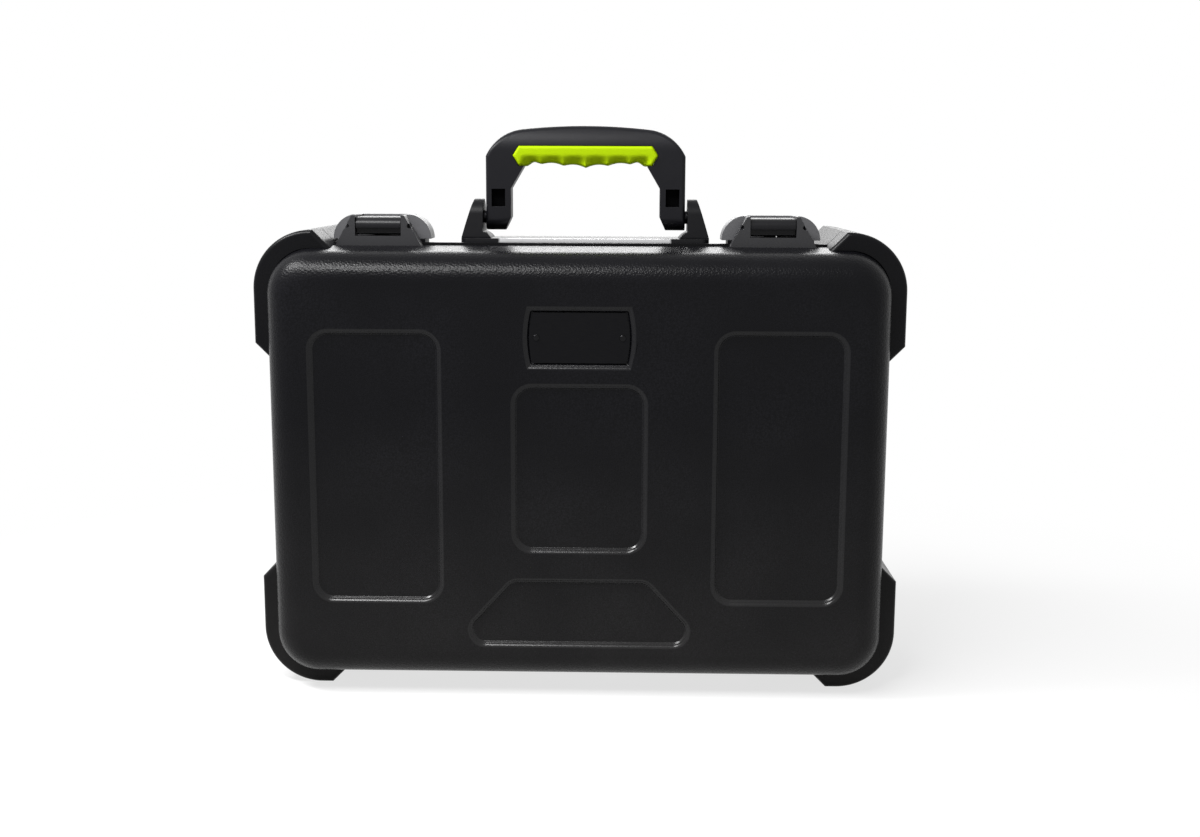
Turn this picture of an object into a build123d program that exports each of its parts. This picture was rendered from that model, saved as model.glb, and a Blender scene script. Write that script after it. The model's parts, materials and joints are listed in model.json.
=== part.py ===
"""Moulded carrying case for microphones, standing on its hinge side with the lid to the front.

X runs across the case, Y from the lid's face (-Y) to the back (+Y), and Z up.
The origin is the middle of the bounding box's underside, on the floor under the corner guards' feet.
All lengths are in millimetres and all angles in degrees.
"""
import os
from math import radians, tan

from build123d import *

os.makedirs("parts", exist_ok=True)

# ---- case body --------------------------------------------------------------------------------
shell_width = 464.0  # at the straight band beside the parting line
shell_height = 325.4
shell_corner = 32.0
shell_wall = 3.5
guard_proud_side = 11.5  # how far the corner guards stand out of the shell at the sides
guard_proud_end = 12.3  # and at the top and bottom
case_depth = 185.0
lid_depth = 65.0
lid_draft = 5.0
base_draft = 2.5
lid_face_round = 22.0
base_face_round = 18.0
seat_band = 17.0  # the shells' walls are straight for this far from their edge

guard_width = shell_width + 2 * guard_proud_side
guard_height = shell_height + 2 * guard_proud_end
parting_y = lid_depth - case_depth / 2
lid_face_y = -case_depth / 2
base_face_y = case_depth / 2
mid_z = guard_height / 2
shell_top_z = mid_z + shell_height / 2
shell_bottom_z = mid_z - shell_height / 2

# ---- tongue and groove rims --------------------------------------------------------------------
rim_flange = 3.0  # thickness of each rim's flange over the shell's edge
rim_proud = 2.0  # how far the flange stands out of the shell
rim_ring_depth = 6.0  # the ring inside the shell's wall
rim_ring_width = 6.0
tongue_width = 2.4
tongue_height = 3.0
tongue_gap = 0.4
groove_depth = 5.0
seal_thickness = 1.4
seal_gap = 0.2

lid_edge_y = parting_y - rim_flange
base_edge_y = parting_y + rim_flange
rim_bottom_z = shell_bottom_z - rim_proud

# ---- corner guards -----------------------------------------------------------------------------
guard_arc = 44.0
guard_side_length = 40.5  # straight side below the arc
guard_ramp = 13.0  # 45 degree run-outs at both ends
guard_top_flat = 1.5  # between the arc and the ramp
guard_foot_flat = 8.0  # the same on the lower guards, which the case stands on
guard_lid_depth = 35.0
guard_back_gap = 10.0  # from the base guards' ends to the plane of the back
guard_gap = 0.5  # from each guard to the parting plane
guard_edge_round = 3.5

# ---- recesses in the lid's face ------------------------------------------------------------------
recess_depth = 3.0
recess_lip = 45.0
recess_floor_corner = 11.5
lip_round = 1.4
side_recess_width = 90.3
side_recess_height = 197.8
side_recess_x = 148.8
side_recess_rise = 1.7  # all rises are above the middle of the case
middle_shift = 1.5  # the middle column of features sits this far right of the centre line
centre_recess_width = 92.4
centre_recess_height = 119.5
centre_recess_rise = 1.55
foot_recess_top = -85.6
foot_recess_bottom = -131.0
foot_recess_top_half = 45.0
foot_recess_spread = 0.873  # sideways run of the slanted sides for each unit of fall
foot_recess_round = 9.0
badge_recess_width = 68.2
badge_recess_height = 37.7
badge_recess_bow = 3.0
badge_recess_rise = 98.95
badge_gap = 0.5
badge_thickness = 1.4
rivet_spacing = 63.0
rivet_radius = 2.4
rivet_shank = 1.5
rivet_bite = 2.5
rivet_head = 0.9
rivet_round = 0.6
back_recess_width = 372.0
back_recess_height = 236.0
back_recess_corner = 18.0

# ---- hinge along the bottom of the parting line ----------------------------------------------------
lid_open_angle = 100.0
hinge_stop_gap = 3.0  # degrees left between the guards' relieved edges when the lid is open
hinge_z = rim_bottom_z - 3.3
hinge_length = 300.0
knuckle_count = 7
knuckle_gap = 0.4
knuckle_radius = 3.0
hinge_pin_radius = 1.5
running_gap = 0.05
leaf_width = 24.0
leaf_thickness = 2.0
leaf_clear = 3.4  # the leaf's edge stays this far from the hinge axis
web_drop = 0.3  # the knuckles' webs lie this far under the rim
hinge_pad_top = shell_bottom_z + 2.7
hinge_screw_count = 6

# ---- screws ------------------------------------------------------------------------------------
screw_radius = 1.8
screw_head_radius = 3.4
screw_head_height = 1.6
screw_gap = 0.02
screw_bite = 7.0  # thread length beyond the wall
screw_ring_gap = 0.3  # from a screw's head to the rim's inner ring
hinge_screw_bite = 4.5
latch_screw_bite = 4.5
keeper_screw_bite = 9.0
latch_screw_half = 27.0

# ---- handle ------------------------------------------------------------------------------------
handle_x = 3.0
handle_y = base_edge_y + 26.5
handle_pivot_z = shell_top_z + 20.8
handle_half_width = 77.0
handle_leg_width = 19.5
handle_crown_z = shell_top_z + 90.3
handle_crown_drop = 2.7  # from the crown's middle to where its shoulders start
handle_shoulder_half = 48.9
handle_shoulder_fall = 20.3  # the shoulder's arc falls this far and meets the straight side at a corner
handle_thickness = 20.0
handle_edge_round = 3.0
handle_leg_taper = 4.5
handle_gusset_low = shell_top_z + 42.8
handle_gusset_half = 47.5
leg_window_width = 10.5
leg_window_low = shell_top_z + 28.8
leg_window_high = shell_top_z + 42.3
leg_window_depth = 6.0
grip_half_width = 56.3
grip_top_z = shell_top_z + 75.3
grip_bottom_z = shell_top_z + 59.8
grip_middle_z = shell_top_z + 67.8
grip_end_half = 51.5
grip_thickness = 23.0
grip_scallop_count = 6
gusset_to_scallop_half = 46.5
grip_scallop_rise = 1.6
handle_pin_radius = 5.0

# ---- handle brackets and their plate -----------------------------------------------------------------
plate_half_width = 95.5
plate_top_z = shell_top_z + 4.8
plate_front_y = base_edge_y + 4.5
plate_back_y = base_edge_y + 50.5
plate_corner = 6.0
bracket_gap = 2.0  # from the handle's leg to the bracket
bracket_top_half = 86.3
bracket_mid_half = 92.2
bracket_mid_z = shell_top_z + 16.3
bracket_crown = 13.9  # radius round the pivot
bracket_foot_reach = 17.0  # half of the bracket's length along Y at its foot
bracket_flare = 6.5
bracket_flare_z = shell_top_z + 9.8
bracket_pin_depth = 8.0
leg_pin_depth = 14.0
pin_end_gap = 0.5
bracket_screw_y = (handle_y - 12.0, handle_y + 12.0)
bracket_screw_x = 84.0

# ---- latches -----------------------------------------------------------------------------------
latch_x = (-152.0, 145.0)
latch_names = ("left", "right")
latch_top_z = shell_top_z + 22.8
latch_base_half = 32.5
latch_top_half = 19.75
latch_front_y = lid_edge_y - 13.5
latch_back_y = lid_edge_y - 0.7
latch_window_half = 17.25
latch_window_z = shell_top_z + 7.3
latch_edge_round = 1.5
lever_side_gap = 0.5
lever_pivot_y = lid_edge_y - 6.5
lever_pivot_z = shell_top_z + 14.8
lever_nose = 6.5
lever_thickness = 4.4
lever_end_y = base_edge_y + 16.5
lever_pin_radius = 2.3
lever_pin_half = 23.5

keeper_half = 37.5
keeper_plate_half = 33.0
keeper_front_y = base_edge_y + 0.3
keeper_back_y = base_edge_y + 21.5
keeper_plate_top = shell_top_z + 4.5
keeper_top_half = 22.0
keeper_shoulder_half = 33.2
keeper_shoulder_z = shell_top_z + 16.5
keeper_recess_z = shell_top_z + 16.1
keeper_recess_back = keeper_back_y - 3.5
lug_width = 9.0
lug_bottom_z = shell_top_z + 2.5
lug_foot = 1.8  # web left under the eye
lug_front_y = base_edge_y + 6.5
lug_back_y = base_edge_y + 14.5
channel_gap = 0.6
channel_back_y = keeper_back_y - 3.8
slide_gap = 0.3
slide_height = 4.0
slide_front_y = base_edge_y + 8.5
slide_thickness = 4.0
slide_travel = 12.0
slide_length = 17.0
slide_stem_width = 5.0
slide_stem_x = 11.3  # from the bolt's tip to the stem
slide_thumb_width = 11.0
slide_thumb_height = 9.0
slide_thumb_thickness = 2.4

# ---- foam --------------------------------------------------------------------------------------
foam_gap = 0.3
base_pad_thickness = 5.0
foam_top_drop = 19.0  # from the parting plane down to the insert's face
lid_foam_thickness = 12.0
drop_radius = 16.0
drop_columns = 5
drop_rows = 3
drop_pitch_x = 84.0
drop_pitch_z = 66.0
drop_rise = -40.0  # the middle of the drops, above the middle of the case
pocket_width = 372.0
pocket_height = 58.0
pocket_corner = 8.0
pocket_rise = 87.0
pocket_depth = 80.0
handle_relief = 12.0
screw_relief_reach = 11.5  # from the handle screws' axes to the foam round them
cut_margin = 5.0  # how far cutting tools run past what they cut


def facing_front(y, z=mid_z, x=0.0):
    """A plane across the case at depth y that faces the front, with its own y axis up."""
    return Plane(origin=(x, y, z), x_dir=(1, 0, 0), z_dir=(0, -1, 0))


def facing_back(y, z=mid_z):
    """The same, facing the back."""
    return Plane(origin=(0, y, z), x_dir=(-1, 0, 0), z_dir=(0, 1, 0))


def facing_side(x):
    """A plane at x that faces +X, with Y across and Z up."""
    return Plane(origin=(x, 0, 0), x_dir=(0, 1, 0), z_dir=(1, 0, 0))


def facing_up(z):
    """A level plane at height z."""
    return Plane.XY.offset(z)


def shell_form(plane, depth, draft, face_round, inset):
    """The solid form of a half shell: a straight band, then drafted walls and a rounded face."""
    width = shell_width - 2 * inset
    height = shell_height - 2 * inset
    with BuildPart() as form:
        with BuildSketch(plane):
            RectangleRounded(width, height, shell_corner - inset)
        extrude(amount=seat_band)
        with BuildSketch(plane.offset(seat_band)):
            RectangleRounded(width, height, shell_corner - inset)
        extrude(amount=depth - seat_band - inset, taper=draft)
        face = form.faces().sort_by(Axis(plane.origin, plane.z_dir))[-1]
        fillet(face.edges(), face_round - inset)
    return form.part


def lid_form(inset):
    """The lid's form, drawn in by inset."""
    return shell_form(facing_front(lid_edge_y), lid_depth - rim_flange, lid_draft, lid_face_round, inset)


def base_form(inset):
    """The base's form, drawn in by inset."""
    depth = case_depth - lid_depth - rim_flange
    return shell_form(facing_back(base_edge_y), depth, base_draft, base_face_round, inset)


def base_drop(y):
    """How far the base's walls have drawn in at depth y."""
    return max(0.0, y - base_edge_y - seat_band) * tan(radians(base_draft))


lid_outside = lid_form(0.0)
lid_inside = lid_form(shell_wall)
base_outside = base_form(0.0)
base_inside = base_form(shell_wall)


def save(name, part):
    """Label one finished piece and write it."""
    part.label = name
    export_step(part, "parts/" + name + ".step")


# ---- the floors of the recesses, drawn flat about the middle of the case --------------------------------
foot_low_half = foot_recess_top_half + (foot_recess_top - foot_recess_bottom) * foot_recess_spread

with BuildSketch() as side_recesses:
    with Locations((-side_recess_x, side_recess_rise), (side_recess_x, side_recess_rise)):
        RectangleRounded(side_recess_width, side_recess_height, recess_floor_corner)

with BuildSketch() as centre_recess:
    with Locations((middle_shift, centre_recess_rise)):
        RectangleRounded(centre_recess_width, centre_recess_height, recess_floor_corner)

with BuildSketch() as foot_recess:
    with BuildLine():
        Polyline(
            (middle_shift - foot_recess_top_half, foot_recess_top),
            (middle_shift + foot_recess_top_half, foot_recess_top),
            (middle_shift + foot_low_half, foot_recess_bottom),
            (middle_shift - foot_low_half, foot_recess_bottom),
            close=True,
        )
    make_face()
    fillet(foot_recess.vertices(), foot_recess_round)


def badge_outline(shrink):
    """A plate with straight long edges and bowed short ends."""
    half = badge_recess_width / 2 - shrink
    tall = badge_recess_height / 2 - shrink
    with BuildSketch() as badge:
        with BuildLine():
            top = Line((middle_shift - half, tall), (middle_shift + half, tall))
            right = ThreePointArc(
                top @ 1, (middle_shift + half + badge_recess_bow, 0), (middle_shift + half, -tall)
            )
            low = Line(right @ 1, (middle_shift - half, -tall))
            ThreePointArc(low @ 1, (middle_shift - half - badge_recess_bow, 0), top @ 0)
        make_face()
    return badge.sketch.moved(Location((0, badge_recess_rise, 0)))


with BuildSketch() as back_recess:
    RectangleRounded(back_recess_width, back_recess_height, back_recess_corner)

face_recesses = (side_recesses.sketch, centre_recess.sketch, foot_recess.sketch, badge_outline(0.0))

# ---- places where screws go through the shells ----------------------------------------------------------
screw_line = rim_ring_depth + screw_head_radius + screw_ring_gap
lid_screw_y = lid_edge_y - screw_line
base_screw_y = base_edge_y + screw_line
guard_screw_rise = guard_height / 2 - guard_arc - guard_side_length / 2
wall_inside_x = shell_width / 2 - shell_wall
wall_inside_top = shell_top_z - shell_wall
latch_screw_x = [x + side * latch_screw_half for x in latch_x for side in (-1, 1)]
handle_screw_places = [
    (handle_x + side * bracket_screw_x, y) for side in (-1, 1) for y in bracket_screw_y
]
hinge_screw_step = hinge_length / hinge_screw_count
hinge_screw_x = [(i + 0.5) * hinge_screw_step - hinge_length / 2 for i in range(hinge_screw_count)]
hinge_screw_reach = (rim_flange + leaf_width) / 2
leaf_top_z = rim_bottom_z
leaf_bottom_z = leaf_top_z - leaf_thickness
shank_bore = screw_radius + screw_gap


def upright_rods(places, low_z, high_z, radius):
    """Upright cylinders at the given places, between two heights."""
    with BuildPart() as rods:
        with BuildSketch(facing_up(low_z)):
            with Locations(*places):
                Circle(radius)
        extrude(amount=high_z - low_z)
    return rods.part


def side_rods(y, near_x, far_x, radius):
    """Level cylinders along X at the guards' screws, on both sides of the case."""
    with BuildPart() as rods:
        for x in (-far_x, near_x):
            with BuildSketch(facing_side(x)):
                with Locations((y, mid_z - guard_screw_rise), (y, mid_z + guard_screw_rise)):
                    Circle(radius)
            extrude(amount=far_x - near_x)
    return rods.part


def hinge_places(sign):
    """Where one leaf's screws go; sign is -1 for the lid and 1 for the base."""
    return [(x, parting_y + sign * hinge_screw_reach) for x in hinge_screw_x]


guard_bores = {
    y: side_rods(y, wall_inside_x - screw_head_height, wall_inside_x + shell_wall + screw_bite, shank_bore)
    for y in (lid_screw_y, base_screw_y)
}
latch_bores = {
    y: upright_rods([(x, y) for x in latch_screw_x], wall_inside_top, shell_top_z + bite, shank_bore)
    for y, bite in ((lid_screw_y, latch_screw_bite), (base_screw_y, keeper_screw_bite))
}
hinge_bores = {
    sign: upright_rods(hinge_places(sign), leaf_bottom_z, leaf_top_z + hinge_screw_bite, shank_bore)
    for sign in (-1, 1)
}
rivet_places = [(middle_shift + side * rivet_spacing / 2, badge_recess_rise) for side in (-1, 1)]
badge_front_y = lid_face_y + recess_depth - badge_thickness
handle_bores = upright_rods(
    handle_screw_places, wall_inside_top - screw_bite, plate_top_z + screw_bite, shank_bore
)

# ---- lid shell -------------------------------------------------------------------------------
lid_floor = facing_front(lid_face_y + recess_depth)
with BuildPart() as lid_shell:
    add(lid_outside)
    with BuildSketch(facing_up(rim_bottom_z)):
        with Locations((0, lid_edge_y - leaf_width / 2)):
            Rectangle(hinge_length, leaf_width)
    extrude(amount=hinge_pad_top - rim_bottom_z)
    add(lid_inside, mode=Mode.SUBTRACT)
    for floor in face_recesses:
        with BuildSketch(facing_front(lid_face_y + recess_depth + shell_wall)):
            add(floor)
            offset(amount=shell_wall)
        extrude(amount=shell_wall)
    for floor in face_recesses:
        with BuildSketch(lid_floor):
            add(floor)
        extrude(amount=recess_depth, taper=-recess_lip, mode=Mode.SUBTRACT)
        lips = lid_shell.edges(Select.LAST).filter_by_position(Axis.Y, lid_face_y, lid_face_y)
        fillet(lips, lip_round)
    add(guard_bores[lid_screw_y], mode=Mode.SUBTRACT)
    add(latch_bores[lid_screw_y], mode=Mode.SUBTRACT)
    add(hinge_bores[-1], mode=Mode.SUBTRACT)
    with BuildSketch(facing_front(lid_face_y + recess_depth + rivet_bite)):
        with Locations(*rivet_places):
            Circle(rivet_shank + screw_gap)
    extrude(amount=rivet_bite, mode=Mode.SUBTRACT)
save("lid_shell", lid_shell.part)

# ---- base shell ------------------------------------------------------------------------------
with BuildPart() as base_shell:
    add(base_outside)
    with BuildSketch(facing_up(rim_bottom_z)):
        with Locations((0, base_edge_y + leaf_width / 2)):
            Rectangle(hinge_length, leaf_width)
    extrude(amount=hinge_pad_top - rim_bottom_z)
    add(base_inside, mode=Mode.SUBTRACT)
    with BuildSketch(facing_back(base_face_y - recess_depth - shell_wall)):
        add(back_recess.sketch)
        offset(amount=shell_wall)
    extrude(amount=shell_wall)
    with BuildSketch(facing_back(base_face_y - recess_depth)):
        add(back_recess.sketch)
    extrude(amount=recess_depth, taper=-recess_lip, mode=Mode.SUBTRACT)
    back_lips = base_shell.edges(Select.LAST).filter_by_position(Axis.Y, base_face_y, base_face_y)
    fillet(back_lips, lip_round)
    add(guard_bores[base_screw_y], mode=Mode.SUBTRACT)
    add(latch_bores[base_screw_y], mode=Mode.SUBTRACT)
    add(hinge_bores[1], mode=Mode.SUBTRACT)
    add(handle_bores, mode=Mode.SUBTRACT)
save("base_shell", base_shell.part)


# ---- tongue and groove rims, and the seal -----------------------------------------------------------
def section_ring(outer_inset, inner_inset):
    """A flat ring that follows the shell's section, between two insets."""
    with BuildSketch() as ring:
        for inset, mode in ((outer_inset, Mode.ADD), (inner_inset, Mode.SUBTRACT)):
            RectangleRounded(
                shell_width - 2 * inset, shell_height - 2 * inset, shell_corner - inset, mode=mode
            )
    return ring.sketch


ring_inset = shell_wall + rim_ring_width
tongue_inset = shell_wall + (rim_ring_width - tongue_width) / 2
flange_section = section_ring(-rim_proud, ring_inset)
ring_section = section_ring(shell_wall, ring_inset)
tongue_section = section_ring(tongue_inset, tongue_inset + tongue_width)
groove_section = section_ring(tongue_inset - tongue_gap, tongue_inset + tongue_width + tongue_gap)
seal_section = section_ring(
    tongue_inset - tongue_gap + seal_gap, tongue_inset + tongue_width + tongue_gap - seal_gap
)

with BuildPart() as base_rim:
    with BuildSketch(facing_back(parting_y)):
        add(flange_section)
    extrude(amount=rim_flange)
    with BuildSketch(facing_back(base_edge_y)):
        add(ring_section)
    extrude(amount=rim_ring_depth)
    with BuildSketch(facing_front(parting_y)):
        add(tongue_section)
    extrude(amount=tongue_height)
save("base_rim", base_rim.part)

with BuildPart() as lid_rim:
    with BuildSketch(facing_front(parting_y)):
        add(flange_section)
    extrude(amount=rim_flange)
    with BuildSketch(facing_front(lid_edge_y)):
        add(ring_section)
    extrude(amount=rim_ring_depth)
    with BuildSketch(facing_front(parting_y)):
        add(groove_section)
    extrude(amount=groove_depth, mode=Mode.SUBTRACT)
save("lid_rim", lid_rim.part)

with BuildPart() as rim_seal:
    with BuildSketch(facing_front(parting_y - groove_depth + seal_thickness)):
        add(seal_section)
    extrude(amount=seal_thickness)
save("rim_seal", rim_seal.part)

# ---- corner guards -----------------------------------------------------------------------------
def guard_profile(flat):
    """The upper right guard seen from the front, with its flat between the arc and the ramp."""
    edge_x = guard_width / 2
    edge_z = guard_height / 2
    arc_x = edge_x - guard_arc
    arc_z = edge_z - guard_arc
    run = 2 * guard_ramp
    side_end = arc_z - guard_side_length
    with BuildSketch() as profile:
        with BuildLine():
            Line((arc_x - flat, edge_z), (arc_x, edge_z))
            CenterArc((arc_x, arc_z), guard_arc, 0, 90)
            Polyline(
                (edge_x, arc_z),
                (edge_x, side_end),
                (edge_x - run, side_end - run),
                (arc_x - flat - run, side_end - run),
                (arc_x - flat - run, edge_z - run),
                (arc_x - flat, edge_z),
            )
        make_face()
    return profile.sketch


relief_angle = (lid_open_angle + hinge_stop_gap) / 2
relief_drop = hinge_z + cut_margin
relief_run = relief_drop * tan(radians(relief_angle))


def guard_blank(depth, flat):
    """One corner guard's full block in front of the parting plane, its outer edges rounded."""
    with BuildPart() as blank:
        with BuildSketch(facing_front(parting_y - guard_gap)):
            add(guard_profile(flat))
        extrude(amount=depth - guard_gap)
        far_face = blank.faces().sort_by(Axis.Y)[0]
        reach = (guard_width + guard_height) / 2 - 2 * guard_arc - 2 * guard_ramp - flat
        outer = [
            edge
            for edge in far_face.edges()
            if abs(edge.center().X) + abs(edge.center().Z - mid_z) > reach
        ]
        fillet(outer, guard_edge_round)
    return blank.part


def notch(sign):
    """The wedge below the hinge axis that lets the lid's and the base's feet swing together."""
    with BuildPart() as wedge:
        with BuildSketch(facing_side(-guard_width / 2 - cut_margin)):
            with BuildLine():
                Polyline(
                    (parting_y, hinge_z),
                    (parting_y, hinge_z - relief_drop),
                    (parting_y + sign * relief_run, hinge_z - relief_drop),
                    close=True,
                )
            make_face()
        extrude(amount=guard_width + 2 * cut_margin)
    return wedge.part


with BuildPart() as rim_form:
    with BuildSketch(facing_front(base_edge_y)):
        RectangleRounded(
            shell_width + 2 * rim_proud, shell_height + 2 * rim_proud, shell_corner + rim_proud
        )
    extrude(amount=2 * rim_flange)

guard_sets = (
    ("lid", guard_lid_depth, lid_outside, -1, lid_screw_y),
    ("base", case_depth - lid_depth - guard_back_gap, base_outside, 1, base_screw_y),
)
for body, depth, form, sign, screw_y in guard_sets:
    wedge = notch(sign)
    for row, flat in (("top", guard_top_flat), ("bottom", guard_foot_flat)):
        blank = guard_blank(depth, flat)
        if body == "base":
            blank = mirror(blank, about=facing_front(parting_y))
        if row == "bottom":
            blank = mirror(blank, about=facing_up(mid_z))
        for side_name in ("right", "left"):
            if side_name == "left":
                blank = mirror(blank, about=Plane.YZ)
            with BuildPart() as guard:
                add(blank)
                add(wedge, mode=Mode.SUBTRACT)
                add(form, mode=Mode.SUBTRACT)
                add(rim_form.part, mode=Mode.SUBTRACT)
                add(guard_bores[screw_y], mode=Mode.SUBTRACT)
            save(body + "_guard_" + row + "_" + side_name, guard.part)


def screw_group(name, rods, heads):
    """Save one group of like screws: their shanks joined to their heads."""
    with BuildPart() as screws:
        add(rods)
        add(heads)
    save(name, screws.part)


for body, screw_y, sign in (("lid", lid_screw_y, -1), ("base", base_screw_y, 1)):
    inner_x = wall_inside_x
    screw_group(
        body + "_guard_screws",
        side_rods(screw_y, inner_x, inner_x + shell_wall + screw_bite, screw_radius),
        side_rods(screw_y, inner_x - screw_head_height, inner_x, screw_head_radius),
    )

screw_group(
    "latch_screws",
    upright_rods(
        [(x, lid_screw_y) for x in latch_screw_x],
        wall_inside_top,
        shell_top_z + latch_screw_bite,
        screw_radius,
    ),
    upright_rods(
        [(x, lid_screw_y) for x in latch_screw_x],
        wall_inside_top - screw_head_height,
        wall_inside_top,
        screw_head_radius,
    ),
)
screw_group(
    "keeper_screws",
    upright_rods(
        [(x, base_screw_y) for x in latch_screw_x],
        wall_inside_top,
        shell_top_z + keeper_screw_bite,
        screw_radius,
    ),
    upright_rods(
        [(x, base_screw_y) for x in latch_screw_x],
        wall_inside_top - screw_head_height,
        wall_inside_top,
        screw_head_radius,
    ),
)
for body, sign in (("lid", -1), ("base", 1)):
    screw_group(
        body + "_hinge_screws",
        upright_rods(hinge_places(sign), leaf_bottom_z, leaf_top_z + hinge_screw_bite, screw_radius),
        upright_rods(
            hinge_places(sign), leaf_bottom_z - screw_head_height, leaf_bottom_z, screw_head_radius
        ),
    )

with BuildPart() as handle_screws:
    for x, y in handle_screw_places:
        head_top = wall_inside_top - base_drop(y + screw_head_radius)
        with BuildSketch(facing_up(head_top - screw_head_height)):
            with Locations((x, y)):
                Circle(screw_head_radius)
        extrude(amount=screw_head_height)
        with BuildSketch(facing_up(head_top)):
            with Locations((x, y)):
                Circle(screw_radius)
        extrude(amount=plate_top_z + screw_bite - head_top)
save("handle_screws", handle_screws.part)

# ---- badge plate and its rivets -----------------------------------------------------------------------
with BuildPart() as badge_plate:
    with BuildSketch(facing_front(lid_face_y + recess_depth)):
        add(badge_outline(badge_gap))
    extrude(amount=badge_thickness)
    with BuildSketch(facing_front(lid_face_y + recess_depth)):
        with Locations(*rivet_places):
            Circle(rivet_shank + screw_gap)
    extrude(amount=badge_thickness, mode=Mode.SUBTRACT)
save("badge_plate", badge_plate.part)

with BuildPart() as badge_rivets:
    with BuildSketch(facing_front(badge_front_y)):
        with Locations(*rivet_places):
            Circle(rivet_radius)
    extrude(amount=rivet_head)
    head_y = badge_front_y - rivet_head
    fillet(badge_rivets.edges().filter_by_position(Axis.Y, head_y, head_y), rivet_round)
    with BuildSketch(facing_front(lid_face_y + recess_depth + rivet_bite)):
        with Locations(*rivet_places):
            Circle(rivet_shank)
    extrude(amount=rivet_bite + badge_thickness)
save("badge_rivets", badge_rivets.part)

# ---- hinge -----------------------------------------------------------------------------------------
knuckle_pitch = hinge_length / knuckle_count


def hinge_leaf(sign, first_knuckle, bore_gap):
    """One leaf with every second knuckle; sign is -1 for the lid and 1 for the base."""
    near_y = parting_y + sign * leaf_clear
    far_y = parting_y + sign * (rim_flange + leaf_width)
    with BuildPart() as leaf:
        with BuildSketch(facing_up(leaf_bottom_z)):
            with Locations((0, (near_y + far_y) / 2)):
                Rectangle(hinge_length, abs(far_y - near_y))
        extrude(amount=leaf_thickness)
        for i in range(first_knuckle, knuckle_count, 2):
            start = i * knuckle_pitch + knuckle_gap / 2 - hinge_length / 2
            with BuildSketch(facing_side(start)):
                with Locations((parting_y, hinge_z)):
                    Circle(knuckle_radius)
                with BuildLine():
                    Polyline(
                        (parting_y, leaf_bottom_z),
                        (near_y, leaf_bottom_z),
                        (near_y, leaf_top_z - web_drop),
                        (parting_y, leaf_top_z - web_drop),
                        close=True,
                    )
                make_face()
            extrude(amount=knuckle_pitch - knuckle_gap)
        with BuildSketch(facing_side(-hinge_length / 2)):
            with Locations((parting_y, hinge_z)):
                Circle(hinge_pin_radius + bore_gap)
        extrude(amount=hinge_length, mode=Mode.SUBTRACT)
        add(hinge_bores[sign], mode=Mode.SUBTRACT)
    return leaf.part


save("base_hinge_leaf", hinge_leaf(1, 0, screw_gap))
save("lid_hinge_leaf", hinge_leaf(-1, 1, running_gap))

with BuildPart() as hinge_pin:
    with BuildSketch(facing_side(-hinge_length / 2)):
        with Locations((parting_y, hinge_z)):
            Circle(hinge_pin_radius)
    extrude(amount=hinge_length)
save("hinge_pin", hinge_pin.part)

# ---- handle ------------------------------------------------------------------------------------
handle_front_y = handle_y - handle_thickness / 2
leg_inner = handle_half_width - handle_leg_width
leg_end_z = handle_pivot_z - handle_thickness / 2
shoulder_top_z = handle_crown_z - handle_crown_drop
shoulder_low_z = shoulder_top_z - handle_shoulder_fall
scallop_pitch = 2 * gusset_to_scallop_half / grip_scallop_count


def handle_side(y):
    """A plane that faces the front, with its origin on the floor under the handle's middle."""
    return facing_front(y, 0.0, handle_x)


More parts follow.
